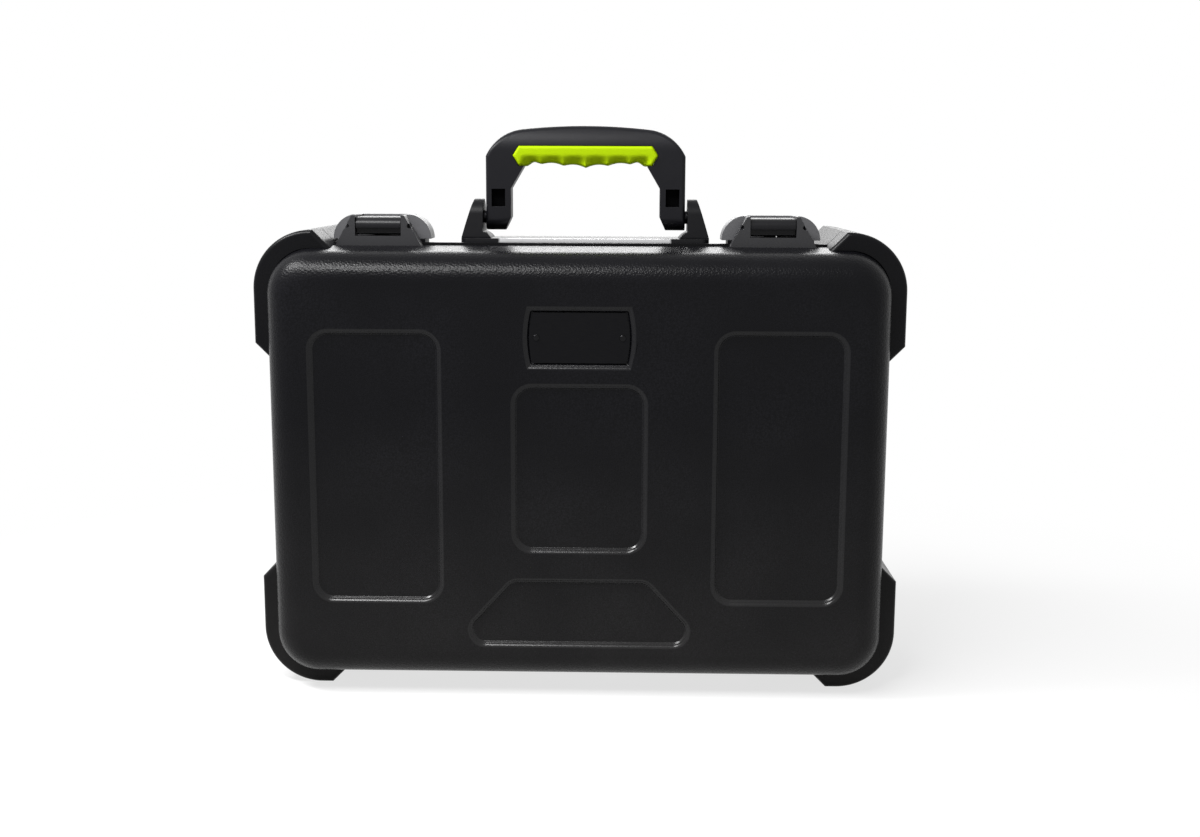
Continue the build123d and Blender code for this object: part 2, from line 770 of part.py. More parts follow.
with BuildPart() as handle_frame:
    with BuildSketch(handle_side(handle_y + handle_thickness / 2)):
        with BuildLine():
            crown = ThreePointArc(
                (-handle_shoulder_half, shoulder_top_z),
                (0, handle_crown_z),
                (handle_shoulder_half, shoulder_top_z),
            )
            right_shoulder = TangentArc(
                crown @ 1, (handle_half_width, shoulder_low_z), tangent=crown % 1
            )
            left_shoulder = TangentArc(
                crown @ 0, (-handle_half_width, shoulder_low_z), tangent=crown % 0 * -1
            )
            Polyline(
                right_shoulder @ 1,
                (handle_half_width, leg_end_z),
                (leg_inner + handle_leg_taper, leg_end_z),
                (leg_inner, handle_pivot_z),
                (leg_inner, handle_gusset_low),
                (handle_gusset_half, grip_bottom_z),
                (grip_end_half, grip_bottom_z),
                (grip_half_width, grip_middle_z),
                (grip_end_half, grip_top_z),
                (-grip_end_half, grip_top_z),
                (-grip_half_width, grip_middle_z),
                (-grip_end_half, grip_bottom_z),
                (-handle_gusset_half, grip_bottom_z),
                (-leg_inner, handle_gusset_low),
                (-leg_inner, handle_pivot_z),
                (-leg_inner - handle_leg_taper, leg_end_z),
                (-handle_half_width, leg_end_z),
                left_shoulder @ 1,
            )
        make_face()
    extrude(amount=handle_thickness)
    front_and_back = handle_frame.faces().sort_by(Axis.Y)
    outer_edges = [
        edge
        for edge in front_and_back[0].edges() + front_and_back[-1].edges()
        if max(corner.Z for corner in edge.vertices()) > grip_top_z + handle_edge_round
        or abs(edge.center().X - handle_x) > handle_half_width - handle_edge_round
    ]
    fillet(outer_edges, handle_edge_round)
    with BuildSketch(facing_side(handle_x - handle_half_width)) as leg_profile:
        with Locations((handle_y, handle_pivot_z)):
            Circle(handle_thickness / 2)
            Rectangle(
                handle_thickness,
                2 * (handle_crown_z - handle_pivot_z),
                align=(Align.CENTER, Align.MIN),
            )
    extrude(amount=2 * handle_half_width, mode=Mode.INTERSECT)
    window_x = handle_half_width - handle_leg_width / 2
    for face_y in (handle_front_y + leg_window_depth, handle_y + handle_thickness / 2):
        with BuildSketch(handle_side(face_y)):
            with Locations(
                (-window_x, (leg_window_low + leg_window_high) / 2),
                (window_x, (leg_window_low + leg_window_high) / 2),
            ):
                Rectangle(leg_window_width, leg_window_high - leg_window_low)
        extrude(amount=leg_window_depth, mode=Mode.SUBTRACT)
    for start in (handle_x - handle_half_width, handle_x + handle_half_width - leg_pin_depth):
        with BuildSketch(facing_side(start)):
            with Locations((handle_y, handle_pivot_z)):
                Circle(handle_pin_radius + running_gap)
        extrude(amount=leg_pin_depth, mode=Mode.SUBTRACT)
save("handle_frame", handle_frame.part)

with BuildPart() as handle_grip:
    with BuildSketch(handle_side(handle_y + grip_thickness / 2)):
        with BuildLine():
            first = Line((-grip_end_half, grip_bottom_z), (-gusset_to_scallop_half, grip_bottom_z))
            for i in range(grip_scallop_count):
                start = i * scallop_pitch - gusset_to_scallop_half
                ThreePointArc(
                    (start, grip_bottom_z),
                    (start + scallop_pitch / 2, grip_bottom_z + grip_scallop_rise),
                    (start + scallop_pitch, grip_bottom_z),
                )
            Polyline(
                (gusset_to_scallop_half, grip_bottom_z),
                (grip_end_half, grip_bottom_z),
                (grip_half_width, grip_middle_z),
                (grip_end_half, grip_top_z),
                (-grip_end_half, grip_top_z),
                (-grip_half_width, grip_middle_z),
                first @ 0,
            )
        make_face()
    extrude(amount=grip_thickness)
save("handle_grip", handle_grip.part)

# ---- handle brackets, their base plate and the pivot pins ---------------------------------------------
bracket_inner = handle_half_width + bracket_gap
with BuildPart() as pivot_bores:
    for start in (handle_x - bracket_inner - bracket_pin_depth, handle_x + bracket_inner):
        with BuildSketch(facing_side(start)):
            with Locations((handle_y, handle_pivot_z)):
                Circle(handle_pin_radius + screw_gap)
        extrude(amount=bracket_pin_depth)

with BuildPart() as handle_pins:
    pin_length = bracket_pin_depth + bracket_gap + leg_pin_depth - 2 * pin_end_gap
    inner_end = handle_half_width - leg_pin_depth + pin_end_gap
    for start in (handle_x - inner_end - pin_length, handle_x + inner_end):
        with BuildSketch(facing_side(start)):
            with Locations((handle_y, handle_pivot_z)):
                Circle(handle_pin_radius)
        extrude(amount=pin_length)
save("handle_pins", handle_pins.part)

with BuildPart() as handle_plate:
    with BuildSketch(facing_up(shell_top_z - cut_margin)):
        with Locations((handle_x, (plate_front_y + plate_back_y) / 2)):
            RectangleRounded(2 * plate_half_width, plate_back_y - plate_front_y, plate_corner)
    extrude(amount=plate_top_z - shell_top_z + cut_margin)
    add(base_outside, mode=Mode.SUBTRACT)
    add(handle_bores, mode=Mode.SUBTRACT)
save("handle_plate", handle_plate.part)

with BuildPart() as right_bracket:
    with BuildSketch(handle_side(handle_y + bracket_foot_reach)):
        with BuildLine():
            top = handle_pivot_z + bracket_crown
            inner = Line((bracket_inner, top), (bracket_inner, bracket_flare_z))
            flare = RadiusArc(
                inner @ 1, (bracket_inner - bracket_flare, plate_top_z), -2 * bracket_flare
            )
            foot = Line(flare @ 1, (plate_half_width, plate_top_z))
            outer = ThreePointArc(
                foot @ 1, (bracket_mid_half, bracket_mid_z), (bracket_top_half, top)
            )
            Line(outer @ 1, inner @ 0)
        make_face()
    extrude(amount=2 * bracket_foot_reach)
    with BuildSketch(facing_side(handle_x)):
        with Locations((handle_y, handle_pivot_z)):
            Circle(bracket_crown)
        with Locations((handle_y, plate_top_z)):
            Rectangle(2 * bracket_foot_reach, screw_head_height, align=(Align.CENTER, Align.MIN))
        make_hull()
    extrude(amount=plate_half_width, mode=Mode.INTERSECT)
    add(pivot_bores.part, mode=Mode.SUBTRACT)
    add(handle_bores, mode=Mode.SUBTRACT)
save("handle_bracket_right", right_bracket.part)

with BuildPart() as left_bracket:
    add(right_bracket.part)
    mirror(about=facing_side(handle_x), mode=Mode.REPLACE)
save("handle_bracket_left", left_bracket.part)

# ---- latches: housing and lever on the lid, keeper and slide bolt on the base ---------------------------
lever_half = latch_window_half - lever_side_gap
lever_top_z = lever_pivot_z + lever_nose
lug_eye_low = lug_bottom_z + lug_foot
slide_low = keeper_plate_top + slide_gap
slide_back_y = slide_front_y + slide_thickness
slide_tip = lug_width / 2 + channel_gap + channel_gap
channel_half = lug_width / 2 + channel_gap
foot_notch_z = lug_bottom_z - channel_gap


def block(x_low, x_high, y_low, y_high, z_low, z_high):
    """A plain block between the given limits, as a tool for cutting."""
    with BuildPart() as cutter:
        with BuildSketch(facing_up(z_low)):
            with Locations(((x_low + x_high) / 2, (y_low + y_high) / 2)):
                Rectangle(x_high - x_low, y_high - y_low)
        extrude(amount=z_high - z_low)
    return cutter.part


def lever_pin_rod(x, half_length, radius):
    """A cylinder along the lever's pivot axis."""
    with BuildPart() as rod:
        with BuildSketch(facing_side(x - half_length)):
            with Locations((lever_pivot_y, lever_pivot_z)):
                Circle(radius)
        extrude(amount=2 * half_length)
    return rod.part


def latch_housing(x):
    """The lid's latch housing: two sloping ears with the lever's window between them."""
    window = block(
        x - latch_window_half,
        x + latch_window_half,
        latch_front_y - cut_margin,
        latch_back_y + cut_margin,
        latch_window_z,
        latch_top_z + cut_margin,
    )
    pin_bore = lever_pin_rod(x, latch_base_half, lever_pin_radius + running_gap)
    with BuildPart() as housing:
        with BuildSketch(facing_front(latch_back_y, 0.0, x)):
            with BuildLine():
                Polyline(
                    (-latch_base_half, shell_top_z),
                    (latch_base_half, shell_top_z),
                    (latch_top_half, latch_top_z),
                    (-latch_top_half, latch_top_z),
                    close=True,
                )
            make_face()
        extrude(amount=latch_back_y - latch_front_y)
        fillet(housing.edges().filter_by(Axis.Y).group_by(Axis.Z)[-1], latch_edge_round)
        add(window, mode=Mode.SUBTRACT)
        add(pin_bore, mode=Mode.SUBTRACT)
        add(latch_bores[lid_screw_y], mode=Mode.SUBTRACT)
    return housing.part


def latch_lever(x):
    """The lever: a rounded nose on the pin, a flat flap and the lug that drops into the keeper."""
    pin_bore = lever_pin_rod(x, latch_base_half, lever_pin_radius + running_gap)
    with BuildPart() as lever:
        with BuildSketch(facing_side(x - lever_half)):
            with Locations((lever_pivot_y, lever_pivot_z)):
                Circle(lever_nose)
            with BuildLine():
                Polyline(
                    (lever_pivot_y, lever_top_z),
                    (lever_end_y, lever_top_z),
                    (lever_end_y, lever_top_z - lever_thickness),
                    (lever_pivot_y, lever_top_z - lever_thickness),
                    close=True,
                )
            make_face()
        extrude(amount=2 * lever_half)
        with BuildSketch(facing_side(x - lug_width / 2)):
            with BuildLine():
                Polyline(
                    (lug_front_y, lever_top_z - lever_thickness / 2),
                    (lug_back_y, lever_top_z - lever_thickness / 2),
                    (lug_back_y, lug_bottom_z),
                    (lug_front_y, lug_bottom_z),
                    close=True,
                )
            make_face()
        extrude(amount=lug_width)
        with BuildSketch(facing_side(x - lug_width / 2)):
            with BuildLine():
                Polyline(
                    (slide_front_y - channel_gap, lug_eye_low),
                    (slide_back_y + channel_gap, lug_eye_low),
                    (slide_back_y + channel_gap, slide_low + slide_height + channel_gap),
                    (slide_front_y - channel_gap, slide_low + slide_height + channel_gap),
                    close=True,
                )
            make_face()
        extrude(amount=lug_width, mode=Mode.SUBTRACT)
        add(pin_bore, mode=Mode.SUBTRACT)
    return lever.part


def keeper_plate(x):
    """The flat plate under the keeper, cut to the base's top, with a notch for the lug's foot."""
    notch_tool = block(
        x - channel_half,
        x + channel_half,
        keeper_front_y - cut_margin,
        channel_back_y,
        foot_notch_z,
        keeper_plate_top + cut_margin,
    )
    with BuildPart() as plate:
        with BuildSketch(facing_up(shell_top_z - cut_margin)):
            with Locations((x, (keeper_front_y + keeper_back_y) / 2)):
                Rectangle(2 * keeper_plate_half, keeper_back_y - keeper_front_y)
        extrude(amount=keeper_plate_top - shell_top_z + cut_margin)
        add(base_outside, mode=Mode.SUBTRACT)
        add(notch_tool, mode=Mode.SUBTRACT)
        add(latch_bores[base_screw_y], mode=Mode.SUBTRACT)
    return plate.part


def keeper_housing(x):
    """The arched keeper, hollowed for the lever's flap, its lug and the slide bolt."""
    flap_recess = block(
        x - latch_window_half,
        x + latch_window_half,
        keeper_front_y - cut_margin,
        keeper_recess_back,
        keeper_recess_z,
        latch_top_z + cut_margin,
    )
    channel = block(
        x - channel_half,
        x + channel_half,
        keeper_front_y - cut_margin,
        channel_back_y,
        keeper_plate_top - cut_margin,
        keeper_recess_z + cut_margin,
    )
    slide_way = block(
        x + slide_tip - slide_travel - slide_gap,
        x + slide_tip + slide_length + slide_gap,
        slide_front_y - slide_gap,
        slide_back_y + slide_gap,
        keeper_plate_top - cut_margin,
        slide_low + slide_height + slide_gap,
    )
    stem_slot = block(
        x + slide_tip + slide_stem_x - slide_travel - slide_gap,
        x + slide_tip + slide_stem_x + slide_stem_width + slide_gap,
        slide_front_y,
        keeper_back_y + cut_margin,
        keeper_plate_top - cut_margin,
        slide_low + slide_height + slide_gap,
    )
    with BuildPart() as keeper:
        with BuildSketch(facing_front(keeper_back_y, 0.0, x)):
            with BuildLine():
                foot = Line((-keeper_half, keeper_plate_top), (keeper_half, keeper_plate_top))
                right = ThreePointArc(
                    foot @ 1, (keeper_shoulder_half, keeper_shoulder_z), (keeper_top_half, latch_top_z)
                )
                crest = Line(right @ 1, (-keeper_top_half, latch_top_z))
                ThreePointArc(crest @ 1, (-keeper_shoulder_half, keeper_shoulder_z), foot @ 0)
            make_face()
        extrude(amount=keeper_back_y - keeper_front_y)
        for hollow in (flap_recess, channel, slide_way, stem_slot):
            add(hollow, mode=Mode.SUBTRACT)
        add(latch_bores[base_screw_y], mode=Mode.SUBTRACT)
    return keeper.part


def slide_bolt(x):
    """The bolt with its stem and thumb pad, drawn back clear of the lug."""
    bolt_x = x + slide_tip
    stem_x = bolt_x + slide_stem_x
    stem_middle = stem_x + slide_stem_width / 2
    thumb_y = keeper_back_y + slide_gap
    high = slide_low + slide_height
    stem = block(stem_x, stem_x + slide_stem_width, slide_front_y, thumb_y, slide_low, high)
    thumb = block(
        stem_middle - slide_thumb_width / 2,
        stem_middle + slide_thumb_width / 2,
        thumb_y,
        thumb_y + slide_thumb_thickness,
        slide_low,
        slide_low + slide_thumb_height,
    )
    with BuildPart() as bolt:
        add(block(bolt_x, bolt_x + slide_length, slide_front_y, slide_back_y, slide_low, high))
        add(stem)
        add(thumb)
    return bolt.part


for side, x in zip(latch_names, latch_x):
    save("latch_housing_" + side, latch_housing(x))
    save("latch_lever_" + side, latch_lever(x))
    save("latch_pin_" + side, lever_pin_rod(x, lever_pin_half, lever_pin_radius))
    save("keeper_plate_" + side, keeper_plate(x))
    save("keeper_housing_" + side, keeper_housing(x))
    save("slide_bolt_" + side, slide_bolt(x))

# ---- foam lining ------------------------------------------------------------------------------------
pad_back_y = base_face_y - recess_depth - shell_wall - foam_gap
pad_front_y = pad_back_y - base_pad_thickness
tray_front_y = parting_y + foam_top_drop
lid_foam_front_y = lid_face_y + recess_depth + shell_wall + foam_gap
base_soft = base_form(shell_wall + foam_gap)
lid_soft = lid_form(shell_wall + foam_gap)


def slice_of(form, front_y, back_y):
    """The stretch of a form between two depths."""
    with BuildPart() as piece:
        add(form)
        add(
            block(
                -guard_width / 2, guard_width / 2, front_y, back_y, -cut_margin, guard_height + cut_margin
            ),
            mode=Mode.INTERSECT,
        )
    return piece.part


save("foam_base_pad", slice_of(base_soft, pad_front_y, pad_back_y))
save("foam_lid_lining", slice_of(lid_soft, lid_foam_front_y, lid_foam_front_y + lid_foam_thickness))

foam_blank = slice_of(base_soft, tray_front_y, pad_front_y)
screw_relief = block(
    handle_x - bracket_screw_x - screw_relief_reach,
    handle_x + bracket_screw_x + screw_relief_reach,
    tray_front_y - cut_margin,
    max(bracket_screw_y) + screw_relief_reach,
    wall_inside_top - handle_relief,
    shell_top_z,
)
with BuildPart() as foam_tray:
    add(foam_blank)
    with BuildSketch(facing_front(pad_front_y)):
        with Locations((0, drop_rise)):
            with GridLocations(drop_pitch_x, drop_pitch_z, drop_columns, drop_rows):
                Circle(drop_radius)
    extrude(amount=pad_front_y - tray_front_y, mode=Mode.SUBTRACT)
    with BuildSketch(facing_front(tray_front_y + pocket_depth)):
        with Locations((0, pocket_rise)):
            RectangleRounded(pocket_width, pocket_height, pocket_corner)
    extrude(amount=pocket_depth, mode=Mode.SUBTRACT)
    add(screw_relief, mode=Mode.SUBTRACT)
save("foam_tray", foam_tray.part)
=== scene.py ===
# %% [markdown]
# # A moulded carrying case for microphones
#
# The case is two blow-moulded shells of black plastic that meet on a tongue and groove rim. Thick guards
# wrap its corners, two levers shut it on top, and a folding handle with a rubber grip stands between them.
# Its working parts come in as a fixed frame, at their real size and place. What follows gives them their
# surfaces, their soft edges and their foam.

# %% Load the frame
import json
from math import cos, pi, radians, sin, tan

import bmesh
import bpy
from mathutils import Matrix, Vector

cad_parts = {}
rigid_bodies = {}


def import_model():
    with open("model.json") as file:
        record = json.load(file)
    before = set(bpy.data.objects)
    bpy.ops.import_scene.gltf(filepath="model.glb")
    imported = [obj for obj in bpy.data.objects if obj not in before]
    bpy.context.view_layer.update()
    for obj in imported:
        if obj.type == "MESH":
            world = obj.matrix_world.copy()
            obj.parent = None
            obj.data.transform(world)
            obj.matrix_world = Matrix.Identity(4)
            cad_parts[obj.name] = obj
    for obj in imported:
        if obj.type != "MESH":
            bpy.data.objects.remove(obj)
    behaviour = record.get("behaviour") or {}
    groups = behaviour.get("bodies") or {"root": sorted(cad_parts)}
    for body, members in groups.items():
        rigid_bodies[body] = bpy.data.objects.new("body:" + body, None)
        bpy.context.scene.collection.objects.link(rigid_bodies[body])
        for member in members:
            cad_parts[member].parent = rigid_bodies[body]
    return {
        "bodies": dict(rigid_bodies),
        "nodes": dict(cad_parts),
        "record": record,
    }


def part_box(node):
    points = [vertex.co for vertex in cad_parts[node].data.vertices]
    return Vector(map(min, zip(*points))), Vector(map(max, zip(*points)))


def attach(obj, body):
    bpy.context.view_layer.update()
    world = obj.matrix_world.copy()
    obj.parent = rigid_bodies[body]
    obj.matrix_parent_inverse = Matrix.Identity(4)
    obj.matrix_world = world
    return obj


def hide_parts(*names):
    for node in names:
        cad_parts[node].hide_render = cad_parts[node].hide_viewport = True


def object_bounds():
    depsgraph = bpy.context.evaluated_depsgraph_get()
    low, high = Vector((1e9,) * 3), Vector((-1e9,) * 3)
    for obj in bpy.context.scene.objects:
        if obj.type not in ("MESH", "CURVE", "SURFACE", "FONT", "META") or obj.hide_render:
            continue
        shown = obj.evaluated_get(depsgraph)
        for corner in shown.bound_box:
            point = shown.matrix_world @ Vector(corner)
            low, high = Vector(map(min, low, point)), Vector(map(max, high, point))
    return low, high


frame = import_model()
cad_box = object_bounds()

nodes = frame["nodes"]
frame_size = [round(high - low, 4) for low, high in zip(*cad_box)]
print(len(nodes), "pieces in the frame, which measures", frame_size, "m")

# %% [markdown]
# Everything is in metres, but a case maker thinks in millimetres, so one constant turns one into the other.
# The driving sizes are measured from the frame, so that a new frame brings its own sizes along.

# %% Measure the case
MM = 0.001


def span(node):
    """A node's lowest and highest corner."""
    low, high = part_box(node)
    return Vector(low), Vector(high)


shell_low, shell_high = span("lid_shell")
base_low, base_high = span("base_shell")
tray_low, tray_high = span("foam_tray")
grip_low, grip_high = span("handle_grip")
guard_top = span("lid_guard_top_left")[1].z
middle_z = guard_top / 2
shell_bottom = 2 * middle_z - shell_high.z
print("lid shell", [round(v / MM, 1) for v in shell_high - shell_low], "mm")

# %% [markdown]
# Blender's tools act on whatever is selected. So one helper puts a single object in hand, one names a new
# object, one adds the block that most pieces start from, and two open an object for editing and leave it.

# %% Take a piece in hand
def take(piece):
    """Select one object alone and make it active."""
    if bpy.context.object and bpy.context.object.mode != "OBJECT":
        bpy.ops.object.mode_set(mode="OBJECT")
    bpy.ops.object.select_all(action="DESELECT")
    piece.select_set(True)
    bpy.context.view_layer.objects.active = piece
    return piece


def name_new(name):
    """Name the object that was just added, and put its place and size into its mesh."""
    piece = bpy.context.object
    piece.name = name
    bpy.ops.object.transform_apply(location=True, rotation=True, scale=True)
    return piece


def start_cube(name, low, high):
    """A block between two opposite corners."""
    middle = [(a + b) / 2 for a, b in zip(low, high)]
    sides = [abs(b - a) for a, b in zip(low, high)]
    bpy.ops.mesh.primitive_cube_add(size=1.0, location=middle, scale=sides)
    return name_new(name)


def edit(piece):
    """Open one object for editing with nothing selected in it."""
    take(piece)
    bpy.ops.object.mode_set(mode="EDIT")
    bpy.ops.mesh.select_mode(type="FACE")
    bpy.ops.mesh.select_all(action="DESELECT")


def close():
    """Leave edit mode."""
    bpy.ops.object.mode_set(mode="OBJECT")


print("pieces can be taken in hand")

# %% [markdown]
# At a screen the maker clicks on the faces to work on. Here they are found by where they are and which way
# they look, within two small allowances, so the same steps still fit when a size changes. These helpers
# work in edit mode.

# %% Pick faces and edges
facing, touching = 0.9, 0.1 * MM


def pick(piece, kind, wanted):
    """Select just the faces or just the edges that pass the test."""
    bpy.ops.mesh.select_mode(type=kind)
    bpy.ops.mesh.select_all(action="DESELECT")
    shape = bmesh.from_edit_mesh(piece.data)
    found = [part for part in (shape.faces if kind == "FACE" else shape.edges) if wanted(part)]
    for part in found:
        part.select_set(True)
    shape.select_flush_mode()
    bmesh.update_edit_mesh(piece.data)
    return len(found)


def pick_faces(piece, wanted):
    """Select the faces whose centre and normal pass the test."""
    return pick(piece, "FACE", lambda face: wanted(face.calc_center_median(), face.normal))


def pick_edges(piece, wanted):
    """Select the edges that pass the test."""
    return pick(piece, "EDGE", wanted)


def pick_all():
    """Select everything."""
    bpy.ops.mesh.select_all(action="SELECT")


def slice_across(axis, at, way=1.0, **choices):
    """Cut what is selected straight across one axis."""
    place, across = Vector(), Vector()
    place[axis], across[axis] = at, way
    bpy.ops.mesh.bisect(plane_co=place, plane_no=across, **choices)


def round_off(reach, steps):
    """Bevel the selected edges."""
    bpy.ops.mesh.bevel(offset=reach, segments=steps, affect="EDGES")


def pull(y):
    """Extrude the selected faces along Y."""
    bpy.ops.mesh.extrude_region_move(TRANSFORM_OT_translate={"value": (0.0, y, 0.0)})


print("faces and edges can be picked, sliced, rounded and pulled")

# %% [markdown]
# Some steps are surer as a modifier than by hand: taking one solid away from another, joining two, and
# evening out the shading of flat faces beside round ones. Each modifier is applied at once.

# %% Smooth, cut and join
def apply_modifier(piece, kind, **settings):
    """Give one object a modifier with these settings and apply it at once."""
    take(piece)
    modifier = piece.modifiers.new(kind.title(), kind)
    for setting, value in settings.items():
        setattr(modifier, setting, value)
    bpy.ops.object.modifier_apply(modifier=modifier.name)


def smooth(piece, degrees=32.0):
    """Shade softly except over edges sharper than the given angle."""
    take(piece)
    bpy.ops.object.shade_smooth_by_angle(angle=radians(degrees))
    apply_modifier(piece, "WEIGHTED_NORMAL", keep_sharp=True, weight=60)


def cut(piece, cutter):
    """Take one solid away from another and throw the cutter away."""
    apply_modifier(piece, "BOOLEAN", operation="DIFFERENCE", object=cutter, solver="EXACT")
    bpy.data.objects.remove(cutter)


def weld(piece, other):
    """Join a second solid to the first and throw the second away."""
    apply_modifier(piece, "BOOLEAN", operation="UNION", object=other, solver="EXACT")
    bpy.data.objects.remove(other)


print("solids can be smoothed, cut and joined")

# %% [markdown]
# ## The two shells
#
# Each half is a deep tray with large rounded corners. A straight band runs round the edge where the halves
# meet. From there to the face the walls lean in by a few degrees, so that the part comes off its mould.

# %% Sizes of the shells
shell_wall = 3.5 * MM
shell_corner = 32.0 * MM
seat_band = 17.0 * MM
recess_depth = 3.0 * MM
lid_draft, base_draft = radians(5.0), radians(2.5)
lid_round, base_round = 22.0 * MM, 18.0 * MM
corner_steps, round_steps = 16, 10
band_ease, band_steps = 6.0 * MM, 4
print("the shells' walls are", shell_wall / MM, "mm thick")

# %% [markdown]
# A block as wide and tall as the shell is the start. Its long corners are rounded, its face is pulled out
# and drawn in, and the rim of the face gets a big soft round. The foam and the hollow inside have the same
# form, only smaller, so one function with an inset makes them all, for the lid and the base alike.

# %% The block behind every shell and foam
def shell_block(name, edge_y, face_y, draft, face_round, inset):
    """A block with the shell's form, drawn in by inset, from its edge to its face."""
    way = 1.0 if face_y > edge_y else -1.0
    start_y, band_y = edge_y - way * inset, edge_y + way * seat_band
    low = (shell_low.x + inset, start_y, shell_bottom + inset)
    high = (shell_high.x - inset, band_y, shell_high.z - inset)
    block = start_cube(name, low, high)
    edit(block)
    pick_edges(block, lambda edge: abs((edge.verts[0].co - edge.verts[1].co).y) > seat_band / 2)
    round_off(shell_corner - inset, corner_steps)
    pick_faces(block, lambda centre, normal: normal.y * way > facing)
    reach = abs(face_y - band_y)
    pull(way * reach)
    shrink = 2 * reach * tan(draft)
    bpy.ops.transform.resize(
        value=(1 - shrink / (high[0] - low[0]), 1.0, 1 - shrink / (high[2] - low[2])),
        center_override=(0.0, face_y, middle_z),
    )
    pick_edges(block, lambda edge: all(abs(v.co.y - face_y) < touching for v in edge.verts))
    tangent = face_round * tan((pi / 2 - draft) / 2)
    round_off(tangent, round_steps)
    pick_edges(block, lambda edge: all(abs(v.co.y - band_y) < touching for v in edge.verts))
    round_off(band_ease, band_steps)
    close()
    return block


print("each long corner is rounded in", corner_steps, "steps")

# %% [markdown]
# The recesses in the lid stiffen it. Their outlines are first given by their corners alone, and an arc is
# then laid into each corner. A bevel would round a slanted corner by another radius.

# %% Round the corners of an outline
arc_points = 8


def rounded(corners, radius):
    """The outline through the corners, each one turned by an arc of the radius."""
    outline = []
    for i, corner in enumerate(corners):
        here = Vector(corner)
        back = (Vector(corners[i - 1]) - here).normalized()
        ahead = (Vector(corners[(i + 1) % len(corners)]) - here).normalized()
        half_turn = back.angle(ahead) / 2
        centre = here + (back + ahead).normalized() * radius / sin(half_turn)
        first = here + back * radius / tan(half_turn) - centre
        last = here + ahead * radius / tan(half_turn) - centre
        for j in range(arc_points + 1):
            share = j / arc_points
            spoke = first * (1 - share) + last * share
            outline.append(tuple(centre + spoke.normalized() * radius))
    return outline


print("each corner of an outline gets", arc_points + 1, "points")

# %% [markdown]
# Each recess has a stepped lip: a slope, a narrow ledge and a smaller slope. Its cutter starts as a disc
# whose points move onto the outline. It is pulled through the face, and each step of the lip is one inset
# of its inner end, which then sinks.

# %% A cutter for one stepped recess
lip_steps = ((1.5 * MM, 1.5 * MM), (0.8 * MM, 0.1 * MM), (1.2 * MM, 1.4 * MM))
cutter_height = 4 * MM


def outline_cutter(name, outline, face_y, way):
    """A stepped cutter for one recess; the outline is a ring of (x, z) points."""
    bpy.ops.mesh.primitive_circle_add(vertices=len(outline), radius=cutter_height, fill_type="NGON")
    cutter = name_new(name)
    edit(cutter)
    shape = bmesh.from_edit_mesh(cutter.data)
    for vertex, (x, z) in zip(sorted(shape.verts, key=lambda v: v.index), outline):
        vertex.co = (x, face_y - way * cutter_height, z)
    bmesh.update_edit_mesh(cutter.data)
    pick_all()
    pull(way * cutter_height)
    for inward, deeper in lip_steps:
        bpy.ops.mesh.inset(thickness=inward, depth=0.0)
        bpy.ops.transform.translate(value=(0.0, way * deeper, 0.0))
    pick_all()
    bpy.ops.mesh.normals_make_consistent(inside=False)
    close()
    return cutter


lip_reach = sum(step[0] for step in lip_steps)
print("each lip is", round(lip_reach / MM, 2), "mm wide")

# %% [markdown]
# The lid carries five recesses: two tall ones at the sides, one in the middle, a foot shaped like a skirt,
# and a small one with bowed ends for the name plate. The sizes are those of their flat floors.

# %% Sizes of the recesses
column_x = 1.5 * MM
side_x, side_rise = 148.8 * MM, 1.7 * MM
side_size = (90.3 * MM, 197.8 * MM)
centre_rise, centre_size = 1.55 * MM, (92.4 * MM, 119.5 * MM)
foot_top_rise, foot_low_rise = -85.6 * MM, -131.0 * MM
foot_top_half, foot_spread = 49.2 * MM, 0.94
badge_rise, badge_size, badge_bow = 98.95 * MM, (68.2 * MM, 37.7 * MM), 3.0 * MM
pocket_corner, foot_corner = 11.5 * MM, 9.0 * MM
badge_arc_points = 9
print("the side recesses are", [round(v / MM, 1) for v in side_size], "mm")

# %% [markdown]
# Two small functions give the plain outlines: the four corners of an upright box, and a box whose short
# ends bow outwards. Both include the lip.

# %% Box and bowed outlines
def box_corners(x, rise, size):
    """The four corners of an upright box outline."""
    half_x, half_z = size[0] / 2 + lip_reach, size[1] / 2 + lip_reach
    z = middle_z + rise
    left, right, low, high = x - half_x, x + half_x, z - half_z, z + half_z
    return [(left, low), (right, low), (right, high), (left, high)]


def bowed_outline(x, rise, size, bow):
    """An outline with straight long edges and bowed ends."""
    half_x, half_z = size[0] / 2 + lip_reach, size[1] / 2 + lip_reach
    z = middle_z + rise
    right = []
    for i in range(badge_arc_points):
        turn = -1 + 2 * i / (badge_arc_points - 1)
        right.append((x + half_x + bow * (1 - turn * turn), z + turn * half_z))
    return right + [(2 * x - px, 2 * z - pz) for px, pz in right]


print("a bowed end has", badge_arc_points, "points")
